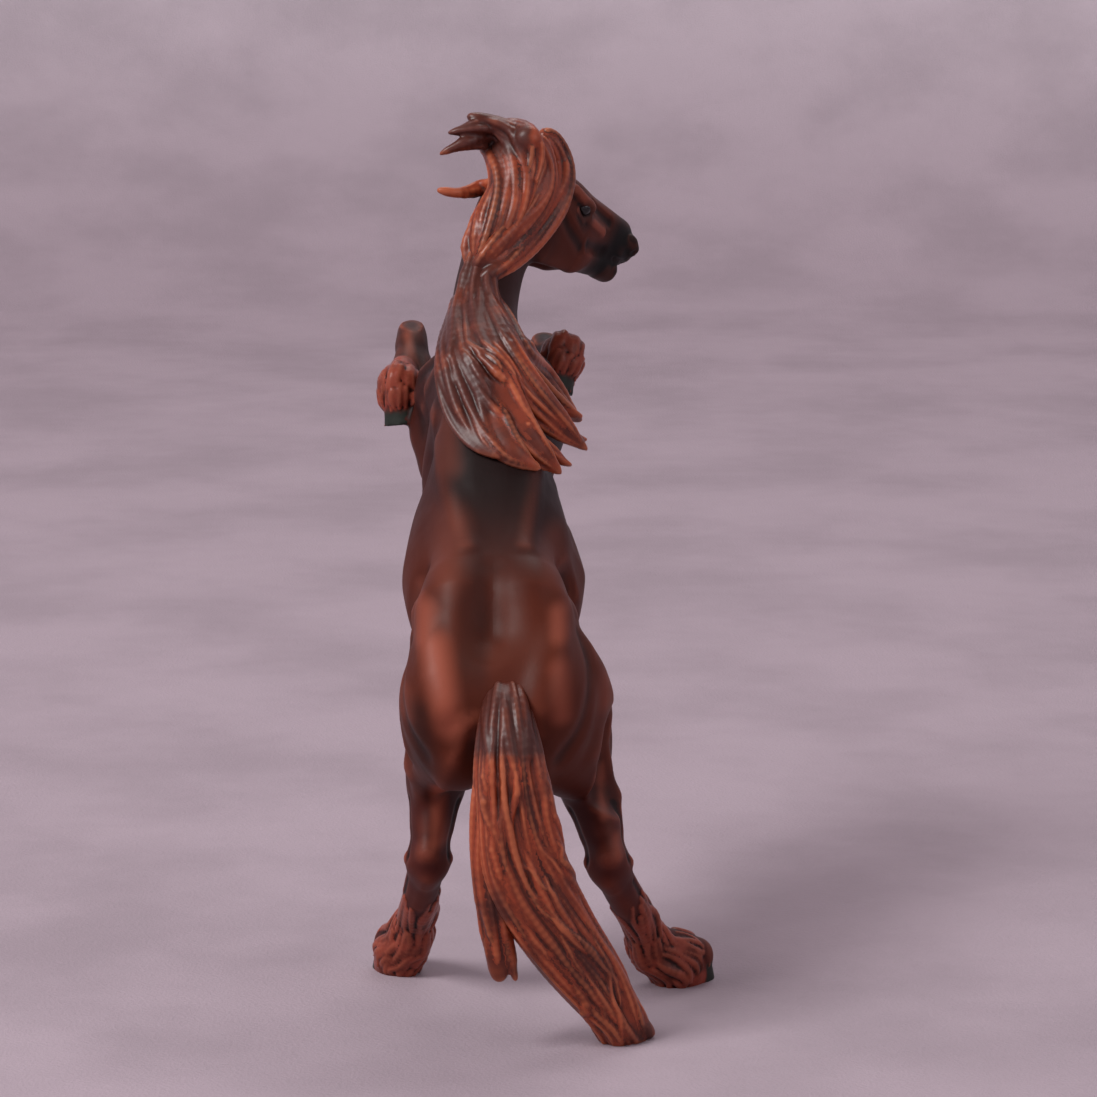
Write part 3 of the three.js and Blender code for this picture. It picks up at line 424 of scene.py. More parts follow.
class Maquette(Clay):
    """The whole horse in coarse clay. Pressed strokes settle on its skin, and all are kept for casts."""

    def __init__(self, low, high, cell):
        super().__init__(low, high, cell)
        self.strokes = []

    def add(self, bars, blend, marks=None, sole=None):
        super().add(bars, blend, marks, sole)
        self.strokes.append((Clay.add, bars, blend, marks, sole))

    def press(self, points, radius, height):
        points = self.settle(points)
        super().press(points, radius, height)
        self.strokes.append((Clay.press, points, radius, height))

    def soften(self, points, radius, width):
        super().soften(points, radius, width)
        self.strokes.append((Clay.soften, points, radius, width))

    def cast(self, low, high, cell):
        """A box of finer clay with the same strokes in it."""
        fine = Clay(low, high, cell)
        for stroke, *values in self.strokes:
            stroke(fine, *values)
        return fine


# Bones of the legs

HindBones = namedtuple("HindBones", "side hoof coronet fetlock hock stifle hip")
ForeBones = namedtuple("ForeBones", "side elbow knee fetlock coronet sole digit")

HOOF_LENGTH = 5
HOOF_WIDTH = 4.4
GASKIN_WIDTH = 4.9
LEG_JOINT_HEIGHT = 22.5
PASTERN_SLOPE = 3.4
THIGH_LENGTH = 12.4
GASKIN_LENGTH = 14
HIND_CANNON_LENGTH = 13
FOREARM_LENGTH = 13.2
FORE_CANNON_LENGTH = 9.8
FORE_PASTERN_LENGTH = 2.2
FORE_HOOF_LENGTH = 2.2


def bend(start, end, start_length, end_length, towards):
    """The joint between two bones of known length whose far ends are known."""
    line = end - start
    span = np.linalg.norm(line)
    direction = line / span
    along = (start_length ** 2 - end_length ** 2 + span ** 2) / (2 * span)
    rise = math.sqrt(max(start_length ** 2 - along ** 2, 0))
    out = unit(towards - direction * (towards @ direction))
    return start + direction * along + out * rise


def hind_bones(side, hoof, hip_out, fetlock_in, cannon_lean):
    fetlock = hoof + at(fetlock_in, -PASTERN_SLOPE, 5)
    hock = fetlock + unit(cannon_lean) * HIND_CANNON_LENGTH
    hip = on_croup(hip_out, 0, 0)
    stifle = bend(hock, hip, GASKIN_LENGTH, THIGH_LENGTH, at(0, 1, 0.2))
    return HindBones(side, hoof, hoof + at(0, -0.7, 2.6), fetlock, hock, stifle, hip)


def fore_bones(side, elbow, forearm_lean, cannon_lean, pastern_lean):
    knee = elbow + unit(forearm_lean) * FOREARM_LENGTH
    fetlock = knee + unit(cannon_lean) * FORE_CANNON_LENGTH
    digit = unit(pastern_lean)
    coronet = fetlock + digit * FORE_PASTERN_LENGTH
    sole = coronet + digit * FORE_HOOF_LENGTH
    return ForeBones(side, elbow, knee, fetlock, coronet, sole, digit)


HIND = [
    hind_bones(1, at(10.4, 5, 0), HIP_SPREAD - 0.7, -2.2, at(-1.8, -8.9, 9)),
    hind_bones(-1, at(-19.6, 1.2, 0), -HIP_SPREAD - 0.7, 4.8, at(4, -8.2, 9.7)),
]
ELBOW_OUT = SHOULDER_WIDTH / 2 - 1.4
FORE = [
    fore_bones(1, on_spine(ELBOW_OUT, 1.08, 0.4), at(2.2, 10.8, 7.6), at(1, -8.8, -2.5), at(-0.3, -0.4, -3)),
    fore_bones(-1, on_spine(-ELBOW_OUT, 1.08, 0.4), at(0, 11, 5.7), at(-1.9, -9, 1.7), at(0.6, -1, -2.6)),
]

NECK_LINE = [
    (at(1.5, 15.6, 58), 7.4, 3.3),
    (at(1.2, 18, 64), 5.8, 2.75),
    (at(0, 19.8, 70), 4.8, 2.5),
    (at(-1.8, 21.2, 75.5), 4.2, 2.45),
]
NECK_JOINT = between(NECK_LINE[0][0], NECK_LINE[1][0], 0.8)
NECK_RISE = unit(NECK_LINE[1][0] - NECK_LINE[0][0])
HEAD_JOINT = between(NECK_LINE[2][0], NECK_LINE[3][0], 0.7)
HEAD_RISE = unit(unit(NECK_LINE[3][0] - NECK_LINE[2][0]) + HEAD_FORWARD)


# Muscles

def sculpt_trunk(clay):
    shoulder = SHOULDER_WIDTH / 2
    deep, wide = BARREL_DEPTH, BARREL_WIDTH
    middle = [
        bar(on_back(0, 0.2, 0.06), on_back(0, 0.34, 0.12), (8, 9.4), (6.3, 0.42 * wide)),
        bar(on_back(0, 0.34, 0.12), on_back(0, 0.45, 0.15),
            (0.43 * deep, 0.49 * deep), (0.43 * wide, 0.5 * wide)),
        bar(on_back(0, 0.45, 0.15), on_back(0, 0.6, 0.15),
            (0.49 * deep, 0.5 * deep), (0.5 * wide, 0.4 * wide)),
        bar(on_back(0, 0.6, 0.15), on_back(0, 0.84, 0.12),
            (0.5 * deep, 0.49 * deep), (0.4 * wide, 0.5 * CHEST_WIDTH)),
        bar(on_back(0, 0.84, 0.12), on_back(0, 1.08, 0.18),
            (0.49 * deep, 0.34 * deep), (0.5 * CHEST_WIDTH, 0.48 * CHEST_WIDTH)),
        bar(on_back(0, 0.86, -0.36), on_back(0, 1.04, -0.36), (2.4, 2.2), (1.6, 1.7)),
        bar(on_croup(0, -0.03, -0.3), on_croup(0, -0.14, -0.22), (2, 1.7)),
    ]
    half = [
        bar(on_croup(3.3, 0.2, -0.22), on_croup(4, -0.04, -0.12), (4.6, 5), (3.6, 3.8)),
        bar(on_croup(5, 0.17, -0.15), on_croup(5.8, 0.15, -0.1), (1.9, 1.4)),
        bar(on_back(2.4, 0.2, -0.24), on_back(2, 0.82, -0.3), (2.8, 2.3), (2.5, 1.9)),
        bar(on_back(2.2, 0.9, -0.34), on_back(shoulder - 3.2, 1.08, 0.16), (2.6, 3.8), (1.8, 2.6)),
        bar(on_back(shoulder - 3, 1.08, 0.16), on_back(shoulder - 2.6, 0.98, 0.42), (3.8, 3.2), (2.8, 2.4)),
        bar(on_back(2.4, 1.16, 0.2), on_back(2.3, 1.08, 0.42), (3.2, 3), (2.8, 2.5)),
    ]
    mirror = np.array([-1, 1, 1])
    bars = middle + half + [each._replace(start=each.start * mirror, end=each.end * mirror) for each in half]
    clay.add([each._replace(start=swayed(each.start), end=swayed(each.end)) for each in bars], 2.3)


def sculpt_thigh(clay, bones):
    side, hip, stifle, hock = bones.side, bones.hip, bones.stifle, bones.hock
    seat = on_croup(side * 3, -0.17, 0.02)
    back = between(stifle, hock, 0.24) + at(0, -2.4, 0)
    clay.add([
        bar(hip, between(hip, stifle, 0.7), (6.4, 5), (4.3, 3.9)),
        bar(between(hip, stifle, 0.45), stifle, (5, 3.4), (3.6, 2.6)),
        bar(on_croup(side * 4.2, -0.06, -0.1), between(seat, back, 0.6) + at(side * 1.3, 1, 0),
            (4.6, 3.2), (3.4, 2.5)),
        bar(seat, back, (3.4, 1.9), (2.9, 1.9)),
        bar(between(hip, stifle, 0.5) + at(-side * 2.4, -2.5, 0), between(stifle, hock, 0.15), (3.6, 2.4)),
    ], 2.2)


def sculpt_hind_leg(clay, bones):
    side, hoof, coronet, fetlock, hock, stifle = bones[:6]
    low = between(stifle, hock, 0.72)
    point_of_hock = hock + at(0, -1.9, 1.2)
    clay.add([
        bar(stifle, between(stifle, hock, 0.45), (3.3, 2.8), (2.7, 2.5)),
        bar(between(stifle, hock, 0.3), low, (2.9, 1.8), (GASKIN_WIDTH * 0.54, GASKIN_WIDTH * 0.36)),
        bar(low, hock, (1.7, 1.8), (1.65, 1.9)),
        bar(between(stifle, hock, 0.4) + at(side * 0.4, -1.8, 0), point_of_hock, (1.8, 1), (1.5, 0.95)),
    ], 1.8)
    clay.add([
        bar(hock, between(hock, fetlock, 0.4), (2, 1.5), (2.1, 1.55)),
        bar(point_of_hock, hock, (1, 1.5)),
        bar(between(hock, fetlock, 0.3), fetlock, (1.45, 1.4), (1.5, 1.5)),
        bar(hock + at(0, -1.5, -1.2), fetlock + at(0, -1.1, 0.4), (0.9, 0.8), (0.85, 0.8)),
        bar(fetlock, fetlock, 1.75),
        bar(fetlock, coronet, (1.5, 1.7), (1.4, 1.7)),
    ], 1.1)
    clay.soften(np.array([hock, between(hock, fetlock, 0.2)]), 4.2, 0.6)
    clay.add([bar(coronet + at(0, 0, -0.5), hoof + at(0, 0.4, -0.6),
                  (HOOF_LENGTH * 0.3, HOOF_LENGTH * 0.46), (HOOF_WIDTH * 0.34, HOOF_WIDTH * 0.45))], 0.5)


def bell(clay, axis, radii):
    """The bulk of a foot's feathers: thick round the foot, and open below."""
    bars = [bar(start, end, (low, high))
            for start, end, low, high in zip(axis, axis[1:], radii, radii[1:])]
    clay.add(bars, 0.9)


def strand_width():
    """The width of one strand of hair, in millimetres."""
    return bpy.context.scene.horse_sculpt.strand_width / MM


def shag(clay, axis, radii, count, rng):
    """Wavy strands of long hair that fall along a foot from all round it, each curling out at its end."""
    ahead = unit(axis[-1] - axis[0])
    across = unit(X_AXIS - ahead * (X_AXIS @ ahead))
    back = np.cross(ahead, across)
    steps = 16
    t = np.linspace(0, 1, steps)
    middle = smooth_path(axis, steps)
    reach = np.interp(t, np.linspace(0, 1, len(radii)), radii)
    curl = 0.35 * np.maximum(t - 0.82, 0) / 0.18
    for k in range(count):
        wave, phase = rng.uniform(0.02, 0.12), rng.uniform(0, 2 * math.pi)
        place = 2 * math.pi * (k + rng.uniform(-0.4, 0.4)) / count
        swirl = 0.25 + rng.uniform(-0.12, 0.12)
        angle = place + swirl * t + wave * np.sin(7 * t + phase)
        away = across * np.cos(angle)[:, None] + back * np.sin(angle)[:, None]
        radius = strand_width() * rng.uniform(0.3, 0.85) * (0.35 + 0.75 * np.sin(math.pi * t ** 0.8))
        radius *= np.minimum(1, 2.2 - 2 * t)
        path = clay.settle(middle + away * reach[:, None])
        path = path - away * (0.25 * radius)[:, None] + away * curl[:, None]
        first, last = int(rng.uniform(0, 0.35) * steps), int(rng.uniform(0.75, 1.01) * steps)
        marks = {"tone": rng.uniform(0.2, 1), "side": k}
        lay_strands(clay, [(smoothed(path[first:last]), radius[first:last], marks)])


# How thick the feathers are over each hind hoof, and how many strands a tier of them has
LEFT_FEATHER_RADIUS = 2.0
RIGHT_FEATHER_RADIUS = 2.25
HIND_STRANDS = 22
FORE_STRANDS = 20


def grow_hind_feathers(clay, bones):
    """The long hair of a hind leg, from the middle of the cannon to the ground."""
    hoof, fetlock, hock = bones.hoof, bones.fetlock, bones.hock
    low = between(fetlock, hoof, 0.62) * np.array([1, 1, 0])
    foot = [
        between(fetlock, hock, 0.16), fetlock + at(0, 0, -1.4),
        low + at(0, -0.2, 1.7), low + at(0, 0, 0.8),
    ]
    bulk = LEFT_FEATHER_RADIUS if bones.side > 0 else RIGHT_FEATHER_RADIUS
    bell(clay, foot, (1.3, 1.45, bulk, bulk + 0.15))
    rng = np.random.default_rng(bpy.context.scene.horse_sculpt.wisps)
    cannon = [between(hock, fetlock, 0.35), between(hock, fetlock, 0.7), fetlock + at(0, 0, -0.8)]
    shag(clay, cannon, (1.3, 1.5, 1.8), HIND_STRANDS, rng)
    foot[-1] = low + at(0, 0, 0.2)
    shag(clay, foot, (1.3, 1.7, bulk + 0.2, bulk + 0.35), HIND_STRANDS, rng)
    shag(clay, foot[1:], (1.6, bulk + 0.2, bulk + 0.4), HIND_STRANDS, rng)


def grow_fore_feathers(clay, bones):
    """The long hair of a folded foreleg, which hangs from the fetlock over the hoof."""
    knee, fetlock, digit = bones.knee, bones.fetlock, bones.digit
    foot = [between(fetlock, knee, 0.25), fetlock, fetlock + digit * 1.4, fetlock + digit * 2.6]
    bell(clay, foot, (1.1, 1.3, 1.45, 1.3))
    rng = np.random.default_rng(bpy.context.scene.horse_sculpt.wisps + 1)
    foot[-1] = fetlock + digit * 3.4
    shag(clay, foot, (1.2, 1.4, 1.6, 1.7), FORE_STRANDS, rng)
    shag(clay, foot[1:], (1.4, 1.6, 1.8), FORE_STRANDS, rng)


def sculpt_foreleg(clay, bones):
    elbow, knee, fetlock, coronet, sole, digit = bones[1:]
    low = between(elbow, knee, 0.62)
    clay.add([bar(elbow, low, (2.7, 2), (2.1, 1.6))], 1.8)
    top = knee + at(0, -0.2, 1.6)
    clay.add([
        bar(low, knee + at(0, 0.2, 0.8), (1.9, 1.6), (1.5, 1.3)),
        bar(knee, between(knee, fetlock, 0.14), (1.8, 1.6), (1.4, 1.35)),
    ], 0.8, None, (top, unit(at(0, -0.25, 1))))
    clay.add([
        bar(between(knee, fetlock, 0.1), fetlock, (1.3, 1.15), (1.2, 1.15)),
        bar(fetlock, fetlock, 1.5),
        bar(fetlock, coronet, (1.3, 1.5)),
    ], 0.8)
    clay.add([bar(coronet, sole, (HOOF_WIDTH * 0.36, HOOF_WIDTH * 0.43))], 0.4, None, (sole, digit))


def sculpt_neck(clay):
    clay.add([bar(low[0], high[0], (low[1], high[1]), (low[2], high[2]))
              for low, high in zip(NECK_LINE, NECK_LINE[1:])], 1.8)


def relief():
    """How strongly the muscles are carved, where 1 is as on the model."""
    return bpy.context.scene.horse_sculpt.relief


def stroke(clay, side, points, radius, height):
    """Presses a stroke given for the left side into the side that is asked for, along the swayed spine."""
    placed = [swayed(at(side * left, forward, up)) for left, forward, up in points]
    clay.press(np.array(placed), radius, height * relief())


def smooth_back(clay):
    """The loin and croup are one smooth vault, not the bars that they are built from."""
    line = np.array([swayed(on_back(left, share, -0.34)) for share in np.linspace(-0.12, 0.8, 12)
                     for left in (-3, 0, 3)])
    clay.soften(line, 4.5, 1.1)


def sculpt_back_muscles(clay):
    for side in (1, -1):
        stroke(clay, side, [(6.7, -9.6, 38.8)], 2.2, 0.55)
        stroke(clay, side, [(7.2, -7, 41.5), (7.6, -5, 39.5), (7.4, -3.4, 37)], 2.6, -0.65)
        stroke(clay, side, [(2.2, -8.5, 43), (2.3, 0, 50), (2.2, 6, 55)], 2, 0.28)
        stroke(clay, side, [(4.6, -12, 39.5), (4.9, -15.5, 36), (4.4, -18, 32)], 2.4, 0.4)
        stroke(clay, side, [(6.6, -12.5, 36), (6.6, -16, 31.5), (5.4, -17.6, 27.5)], 1.8, -0.3)
        stroke(clay, side, [(7.6, -11.5, 35), (8.2, -12, 31), (7.6, -12.5, 27)], 2.4, 0.35)
        stroke(clay, side, [(2.6, -19.6, 31), (3.4, -19, 27.5), (4.4, -17, 24.5)], 1.5, 0.3)
        stroke(clay, side, [(7, -7.5, 37), (7.2, -5, 32), (6.2, -2.5, 27.5)], 1.6, 0.3)
    stroke(clay, 1, [(0.4, -11, 41.5), (0.4, -15, 39), (0.2, -18, 36.5)], 2.2, -0.18)


# Small corrections of the outline that the photograph shows: a stroke, its radius and how far it is raised
OUTLINE_FIT = (
    ([(6.8, 7, 50.5), (7.2, 6, 48.5)], 4, -0.9),
    ([(-6.2, 8, 50), (-6.4, 6.5, 47.5)], 4, -1.25),
    ([(-8, -5, 40.5), (-8.4, -7, 37.5)], 3, -1.7),
    ([(-10.4, -10.5, 33.5), (-11, -10.5, 31.5)], 4, 0.8),
    ([(9.2, -10, 34), (9.2, -10, 29.6), (9, -10, 27.6)], 3.4, -1.5),
    ([(8.6, -8, 23.6), (8.4, -9, 21)], 2.4, 0.5),
    ([(8.8, -9, 25.6)], 2.6, -0.9),
    ([(-12, -10, 27), (-12, -9, 22)], 3.4, -2.3),
    ([(5.6, 20, 60)], 3.6, -0.9),
    ([(-3.2, 21, 60.5)], 3.6, -0.9),
    ([(9.2, -8.6, 37)], 2.6, -0.4),
    ([(7.6, 18, 52), (7, 14, 49.5)], 3.4, -1.3),
    ([(-12.5, -4, 27), (-12.5, -4, 22.5)], 3.2, -1.2),
    ([(10, -3, 31), (9.6, -3, 26)], 3.4, -1.3),
    ([(-7, 3, 45.5), (-7.6, -1, 42)], 4, -0.6),
    ([(-6, 10, 51.5), (-6.8, 7, 48.5)], 3.5, -0.4),
    ([(7.8, 16, 55), (7.4, 14, 52)], 3.4, -0.8),
    ([(8.8, -10, 31), (8.6, -10, 26)], 3, -0.5),
)


def fit_outline(clay):
    for points, radius, height in OUTLINE_FIT:
        clay.press(np.array([at(*point) for point in points]), radius, height)


def sculpt_shoulder_muscles(clay):
    for side in (1, -1):
        stroke(clay, side, [(3.2, 8.4, 60), (5, 12, 57.5), (6.2, 17, 54)], 1.7, 0.3)
        stroke(clay, side, [(3.6, 10, 61.5), (5.2, 14.5, 59), (5.8, 19, 56)], 1.2, -0.25)
        stroke(clay, side, [(5.4, 6.4, 55), (6.6, 9, 51), (6.8, 13, 47)], 2.6, 0.35)
        stroke(clay, side, [(4.8, 3.6, 54.5), (6.4, 5.2, 50), (6.6, 8.6, 45), (5.6, 13, 42)], 1.7, -0.4)
        stroke(clay, side, [(6.2, 13.5, 54), (6.6, 15, 50), (6.4, 16, 46.5)], 1.2, -0.22)
    stroke(clay, 1, [(0, 24.4, 52), (0, 23.5, 48), (0, 20, 44)], 1.6, -0.6)


def sculpt_leg_tendons(clay, bones):
    """Hollows above the hock and along the cannon, and the bones that stand out at hock and fetlock."""
    hock, fetlock, stifle = bones.hock, bones.fetlock, bones.stifle
    for out in (-1, 1):
        aside = at(out * 1.4, -0.7, 0)
        clay.press([between(stifle, hock, 0.55) + aside, between(stifle, hock, 0.95) + aside],
                   0.9, -0.3 * relief())
        clay.press([hock + at(out * 1.7, 0.3, 0.2)], 0.9, 0.22 * relief())
        aside = at(out * 1.2, -0.5, 0)
        clay.press([between(hock, fetlock, 0.2) + aside, between(hock, fetlock, 0.85) + aside],
                   0.55, -0.16 * relief())
        clay.press([fetlock + at(out * 1.2, -1, 0.3)], 0.7, 0.15 * relief())


def head_bar(start, end, deep, wide=None):
    """A bar between two places on the head, wide across the face."""
    return bar(on_head(*start), on_head(*end), deep, wide, HEAD_LEFT)


def sculpt_head(clay):
    sides = (-1, 1)
    clay.add([
        head_bar((0, 0.1, 0.17), (0, 0.36, 0.18), (3.3, 3.5), (2.8, 3.1)),
        head_bar((0, 0.3, 0.2), (0, 0.86, 0.2), (3.8, 2), (2.7, 1.65)),
        head_bar((0, 0.26, 0.05), (0, 0.9, 0.12), (1.2, 0.9), (1.9, 1.2)),
        head_bar((0, 0.48, 0.37), (0, 0.86, 0.35), (1.5, 1.1), (1.3, 1.1)),
        *(head_bar((s * 0.3, 0.2, 0.31), (s * 0.25, 0.45, 0.32), (3.5, 2.9), (1.2, 1.1)) for s in sides),
    ], 1.3)
    clay.add([
        head_bar((0, 0.87, 0.21), (0, 0.93, 0.21), (2.2, 1.9), (1.9, 1.7)),
        head_bar((0, 0.82, 0.36), (0, 0.87, 0.37), (1.1, 1), (1.3, 1.2)),
        *(head_bar((s * 0.24, 0.92, 0.19), (s * 0.26, 0.95, 0.22), (0.8, 0.6)) for s in sides),
        *(head_bar((s * 0.37, 0.33, 0.1), (s * 0.42, 0.42, 0.12), (0.8, 0.7)) for s in sides),
        *(head_bar((s * 0.24, 0.03, 0.03), (s * 0.34, -0.12, -0.1), (1, 0.4), (0.9, 0.4)) for s in sides),
    ], 0.6)


# The size of an eye, and how deep its middle lies under the skin
EYE_RADIUS = 0.85
EYE_SINK = 0.5


def eye_place(clay, side):
    """The middle of an eye, just under the skin of its socket."""
    return clay.settle(on_head(side * 0.46, 0.4, 0.15), -EYE_SINK)[0]


def sculpt_face(clay):
    """Brows, eye sockets, cheekbones, nostrils and the line of the mouth."""
    for s in (-1, 1):
        def along(*places):
            return [on_head(s * left, share, down) for left, share, down in places]
        clay.press(along((0.46, 0.39, 0.15)), 1.7, -0.45)
        clay.press(along((0.36, 0.3, 0.08), (0.46, 0.37, 0.1), (0.43, 0.45, 0.12)), 1, 0.62)
        clay.press(along((0.48, 0.34, 0.16), (0.48, 0.4, 0.195), (0.46, 0.45, 0.17)), 0.6, 0.28)
        clay.press(along((0.44, 0.46, 0.18), (0.36, 0.64, 0.2)), 0.9, 0.3)
        clay.press(along((0.36, 0.5, 0.09), (0.3, 0.7, 0.13)), 0.9, -0.25)
        clay.press(along((0.42, 0.2, 0.2), (0.44, 0.3, 0.27), (0.4, 0.45, 0.33)), 1.1, -0.22)
        clay.press(along((0.36, 0.52, 0.3), (0.3, 0.72, 0.29)), 1.1, -0.3)
        clay.press(along((0.3, 0.9, 0.17), (0.26, 0.97, 0.2)), 0.7, 0.32)
        clay.press(along((0.3, 0.95, 0.225)), 0.6, -0.75)
        clay.press(along((0.1, 0.98, 0.3), (0.28, 0.93, 0.31), (0.27, 0.84, 0.305)), 0.42, -0.4)
        clay.press(along((0.25, 0.88, 0.35)), 0.9, 0.15)


COARSE_CELL = 0.6
_sculpted = {}


def horse_clay():
    """The horse in coarse clay, made once for each strength of relief.

    All castings but the forelegs are cast from it, and the mane lies on it.
    """
    if relief() not in _sculpted:
        clay = Maquette(at(-26, 46, -3), at(20, -28, 90), COARSE_CELL)
        sculpt_trunk(clay)
        for bones in HIND:
            sculpt_thigh(clay, bones)
        smooth_back(clay)
        sculpt_neck(clay)
        sculpt_head(clay)
        sculpt_face(clay)
        for bones in HIND:
            sculpt_hind_leg(clay, bones)
        for bones in FORE:
            sculpt_foreleg(clay, bones)
        fit_outline(clay)
        sculpt_back_muscles(clay)
        sculpt_shoulder_muscles(clay)
        for bones in HIND:
            sculpt_leg_tendons(clay, bones)
        _sculpted[relief()] = clay
    return _sculpted[relief()]


# Meshes

# How far round a point a hollow is looked for, and how deep it is where its mark is full
# The paints put painted shade in the hollows that these marks find and painted highlight on the ridges
MUSCLE_HOLLOW = (1.0, 0.25)
COAT_GROOVE = (0.3, 0.06)
HAIR_GROOVE = (0.3, 0.085)


def put_in_scene(name, data):
    made = bpy.data.objects.new(name, data)
    bpy.context.scene.collection.objects.link(made)
    return made


def mesh_piece(name, points, faces, marks):
    """A smooth mesh with one number per point for each mark."""
    mesh = bpy.data.meshes.new(name)
    mesh.from_pydata(in_model(points).tolist(), [], faces)
    for label, values in marks.items():
        layer = mesh.attributes.new(label, "FLOAT", "POINT")
        layer.data.foreach_set("value", np.asarray(values, np.float32))
    mesh.shade_smooth()
    return put_in_scene(name, mesh)


def cast_piece(name, clay, cuts, paint):
    """A casting: the clay's skin, cut off flat where it joins the next casting."""
    points, quads = clay.skin()
    marks = {"hollow": clay.hollow(points, *MUSCLE_HOLLOW), "groove": clay.hollow(points, *COAT_GROOVE)}
    marks.update(paint(points))
    piece = mesh_piece(name, points, quads.tolist(), marks)
    work = bmesh.new()
    work.from_mesh(piece.data)
    for point, normal in cuts:
        cut = bmesh.ops.bisect_plane(
            work, geom=work.verts[:] + work.edges[:] + work.faces[:], dist=1e-7,
            plane_co=in_model(point), plane_no=normal, clear_outer=True,
        )
        rim = [e for e in cut["geom_cut"] if isinstance(e, bmesh.types.BMEdge)]
        filled = bmesh.ops.holes_fill(work, edges=rim)["faces"]
        for face in filled:
            face.smooth = False
            for edge in face.edges:
                edge.smooth = False
    keep_largest(work)
    bmesh.ops.recalc_face_normals(work, faces=work.faces[:])
    work.to_mesh(piece.data)
    work.free()
    return piece


def keep_largest(work):
    """Drops what a cut left over apart from the casting itself."""
    left = set(work.verts)
    groups = []
    while left:
        todo = [left.pop()]
        group = set(todo)
        while todo:
            for edge in todo.pop().link_edges:
                for vert in edge.verts:
                    if vert in left:
                        left.discard(vert)
                        group.add(vert)
                        todo.append(vert)
        groups.append(group)
    largest = max(groups, key=len)
    bmesh.ops.delete(work, geom=[v for g in groups if g is not largest for v in g], context="VERTS")


def dress(piece, slot, material, *nodes):
    """Gives a piece its paint, and puts it in the place of the nodes that it stands for."""
    piece.data.materials.clear()
    piece.data.materials.append(material)
    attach(piece, BODY)
    if nodes:
        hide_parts(*nodes)


# Hair

Lock = namedtuple("Lock", "path width thickness face taper twist")
LockRun = namedtuple("LockRun", "t centre across out half_wide half_thick")

# How far apart the points of a strand are
STRAND_STEP = 0.7


def lock(path, width, thickness, face, taper=(0.5, 1, 0.25), twist=0.5):
    """A lock of hair. `face` is the way its broad side looks, and `twist` turns its strands round it."""
    return Lock(np.array([at(*p) for p in path]), width, thickness, unit(face), taper, twist)


def smooth_path(points, count):
    """Points along a smooth curve through the given ones."""
    points = np.array(points, float)
    gaps = np.maximum(np.linalg.norm(np.diff(points, axis=0), axis=1), 1e-6) ** 0.5
    knots = np.concatenate([[0], np.cumsum(gaps)])
    slopes = np.gradient(points, knots, axis=0)
    t = np.linspace(0, knots[-1], count)
    i = np.clip(np.searchsorted(knots, t, side="right") - 1, 0, len(points) - 2)
    h = (knots[i + 1] - knots[i])[:, None]
    s = (t - knots[i])[:, None] / h
    return ((2 * s ** 3 - 3 * s ** 2 + 1) * points[i] + (s ** 3 - 2 * s ** 2 + s) * h * slopes[i]
            + (3 * s ** 2 - 2 * s ** 3) * points[i + 1] + (s ** 3 - s ** 2) * h * slopes[i + 1])


def swelling(taper, t):
    """Width of a lock along its run: from its root, through its middle, to its tip."""
    rise = taper[0] + (taper[1] - taper[0]) * np.sin(np.clip(t / 0.4, 0, 1) * math.pi / 2)
    fall = taper[2] + (taper[1] - taper[2]) * np.cos(np.clip((t - 0.4) / 0.6, 0, 1) * math.pi / 2)
    return np.where(t < 0.4, rise, fall)


def lock_frame(each, steps):
    """Along a lock: its centre line, the ways across and out of it, and half its width and thickness."""
    t = np.linspace(0, 1, steps)
    centre = smooth_path(each.path, steps)
    ahead = np.gradient(centre, axis=0)
    ahead /= np.linalg.norm(ahead, axis=1)[:, None]
    across = np.cross(ahead, each.face)
    across /= np.linalg.norm(across, axis=1)[:, None]
    out = np.cross(across, ahead)
    swell = swelling(each.taper, t)
    return LockRun(t, centre, across, out, each.width / 2 * swell, each.thickness / 2 * np.sqrt(swell))


def steps_of(each):
    """How many points the strands of a lock take."""
    reach = np.linalg.norm(np.diff(each.path, axis=0), axis=1).sum()
    return int(np.clip(reach / STRAND_STEP, 8, 60))


def girth(each):
    """The way round the oval section of a lock."""
    wide, thick = each.width, each.thickness
    return math.pi * (3 * (wide + thick) - math.sqrt((3 * wide + thick) * (wide + 3 * thick))) / 2


def lay_mass(clay, each):
    """The body of a lock, which its strands lie on."""
    run = lock_frame(each, steps_of(each))
    sink, thinnest, blend = 0.25, 0.12, 0.5
    for i in range(len(run.centre) - 1):
        deep = np.maximum(run.half_thick[i:i + 2] - sink, thinnest)
        wide = np.maximum(run.half_wide[i:i + 2] - sink, thinnest)
        across = unit(run.across[i] + run.across[i + 1])
        clay.add([bar(run.centre[i], run.centre[i + 1], deep, wide, across)], blend,
                 {"tone": 0.1, "run": i * STRAND_STEP})


def smoothed(path):
    """A line without the small kinks between its points."""
    for _ in range(3):
        inner = (path[:-2] + 2 * path[1:-1] + path[2:]) / 4
        path = np.concatenate([path[:1], inner, path[-1:]])
    return path


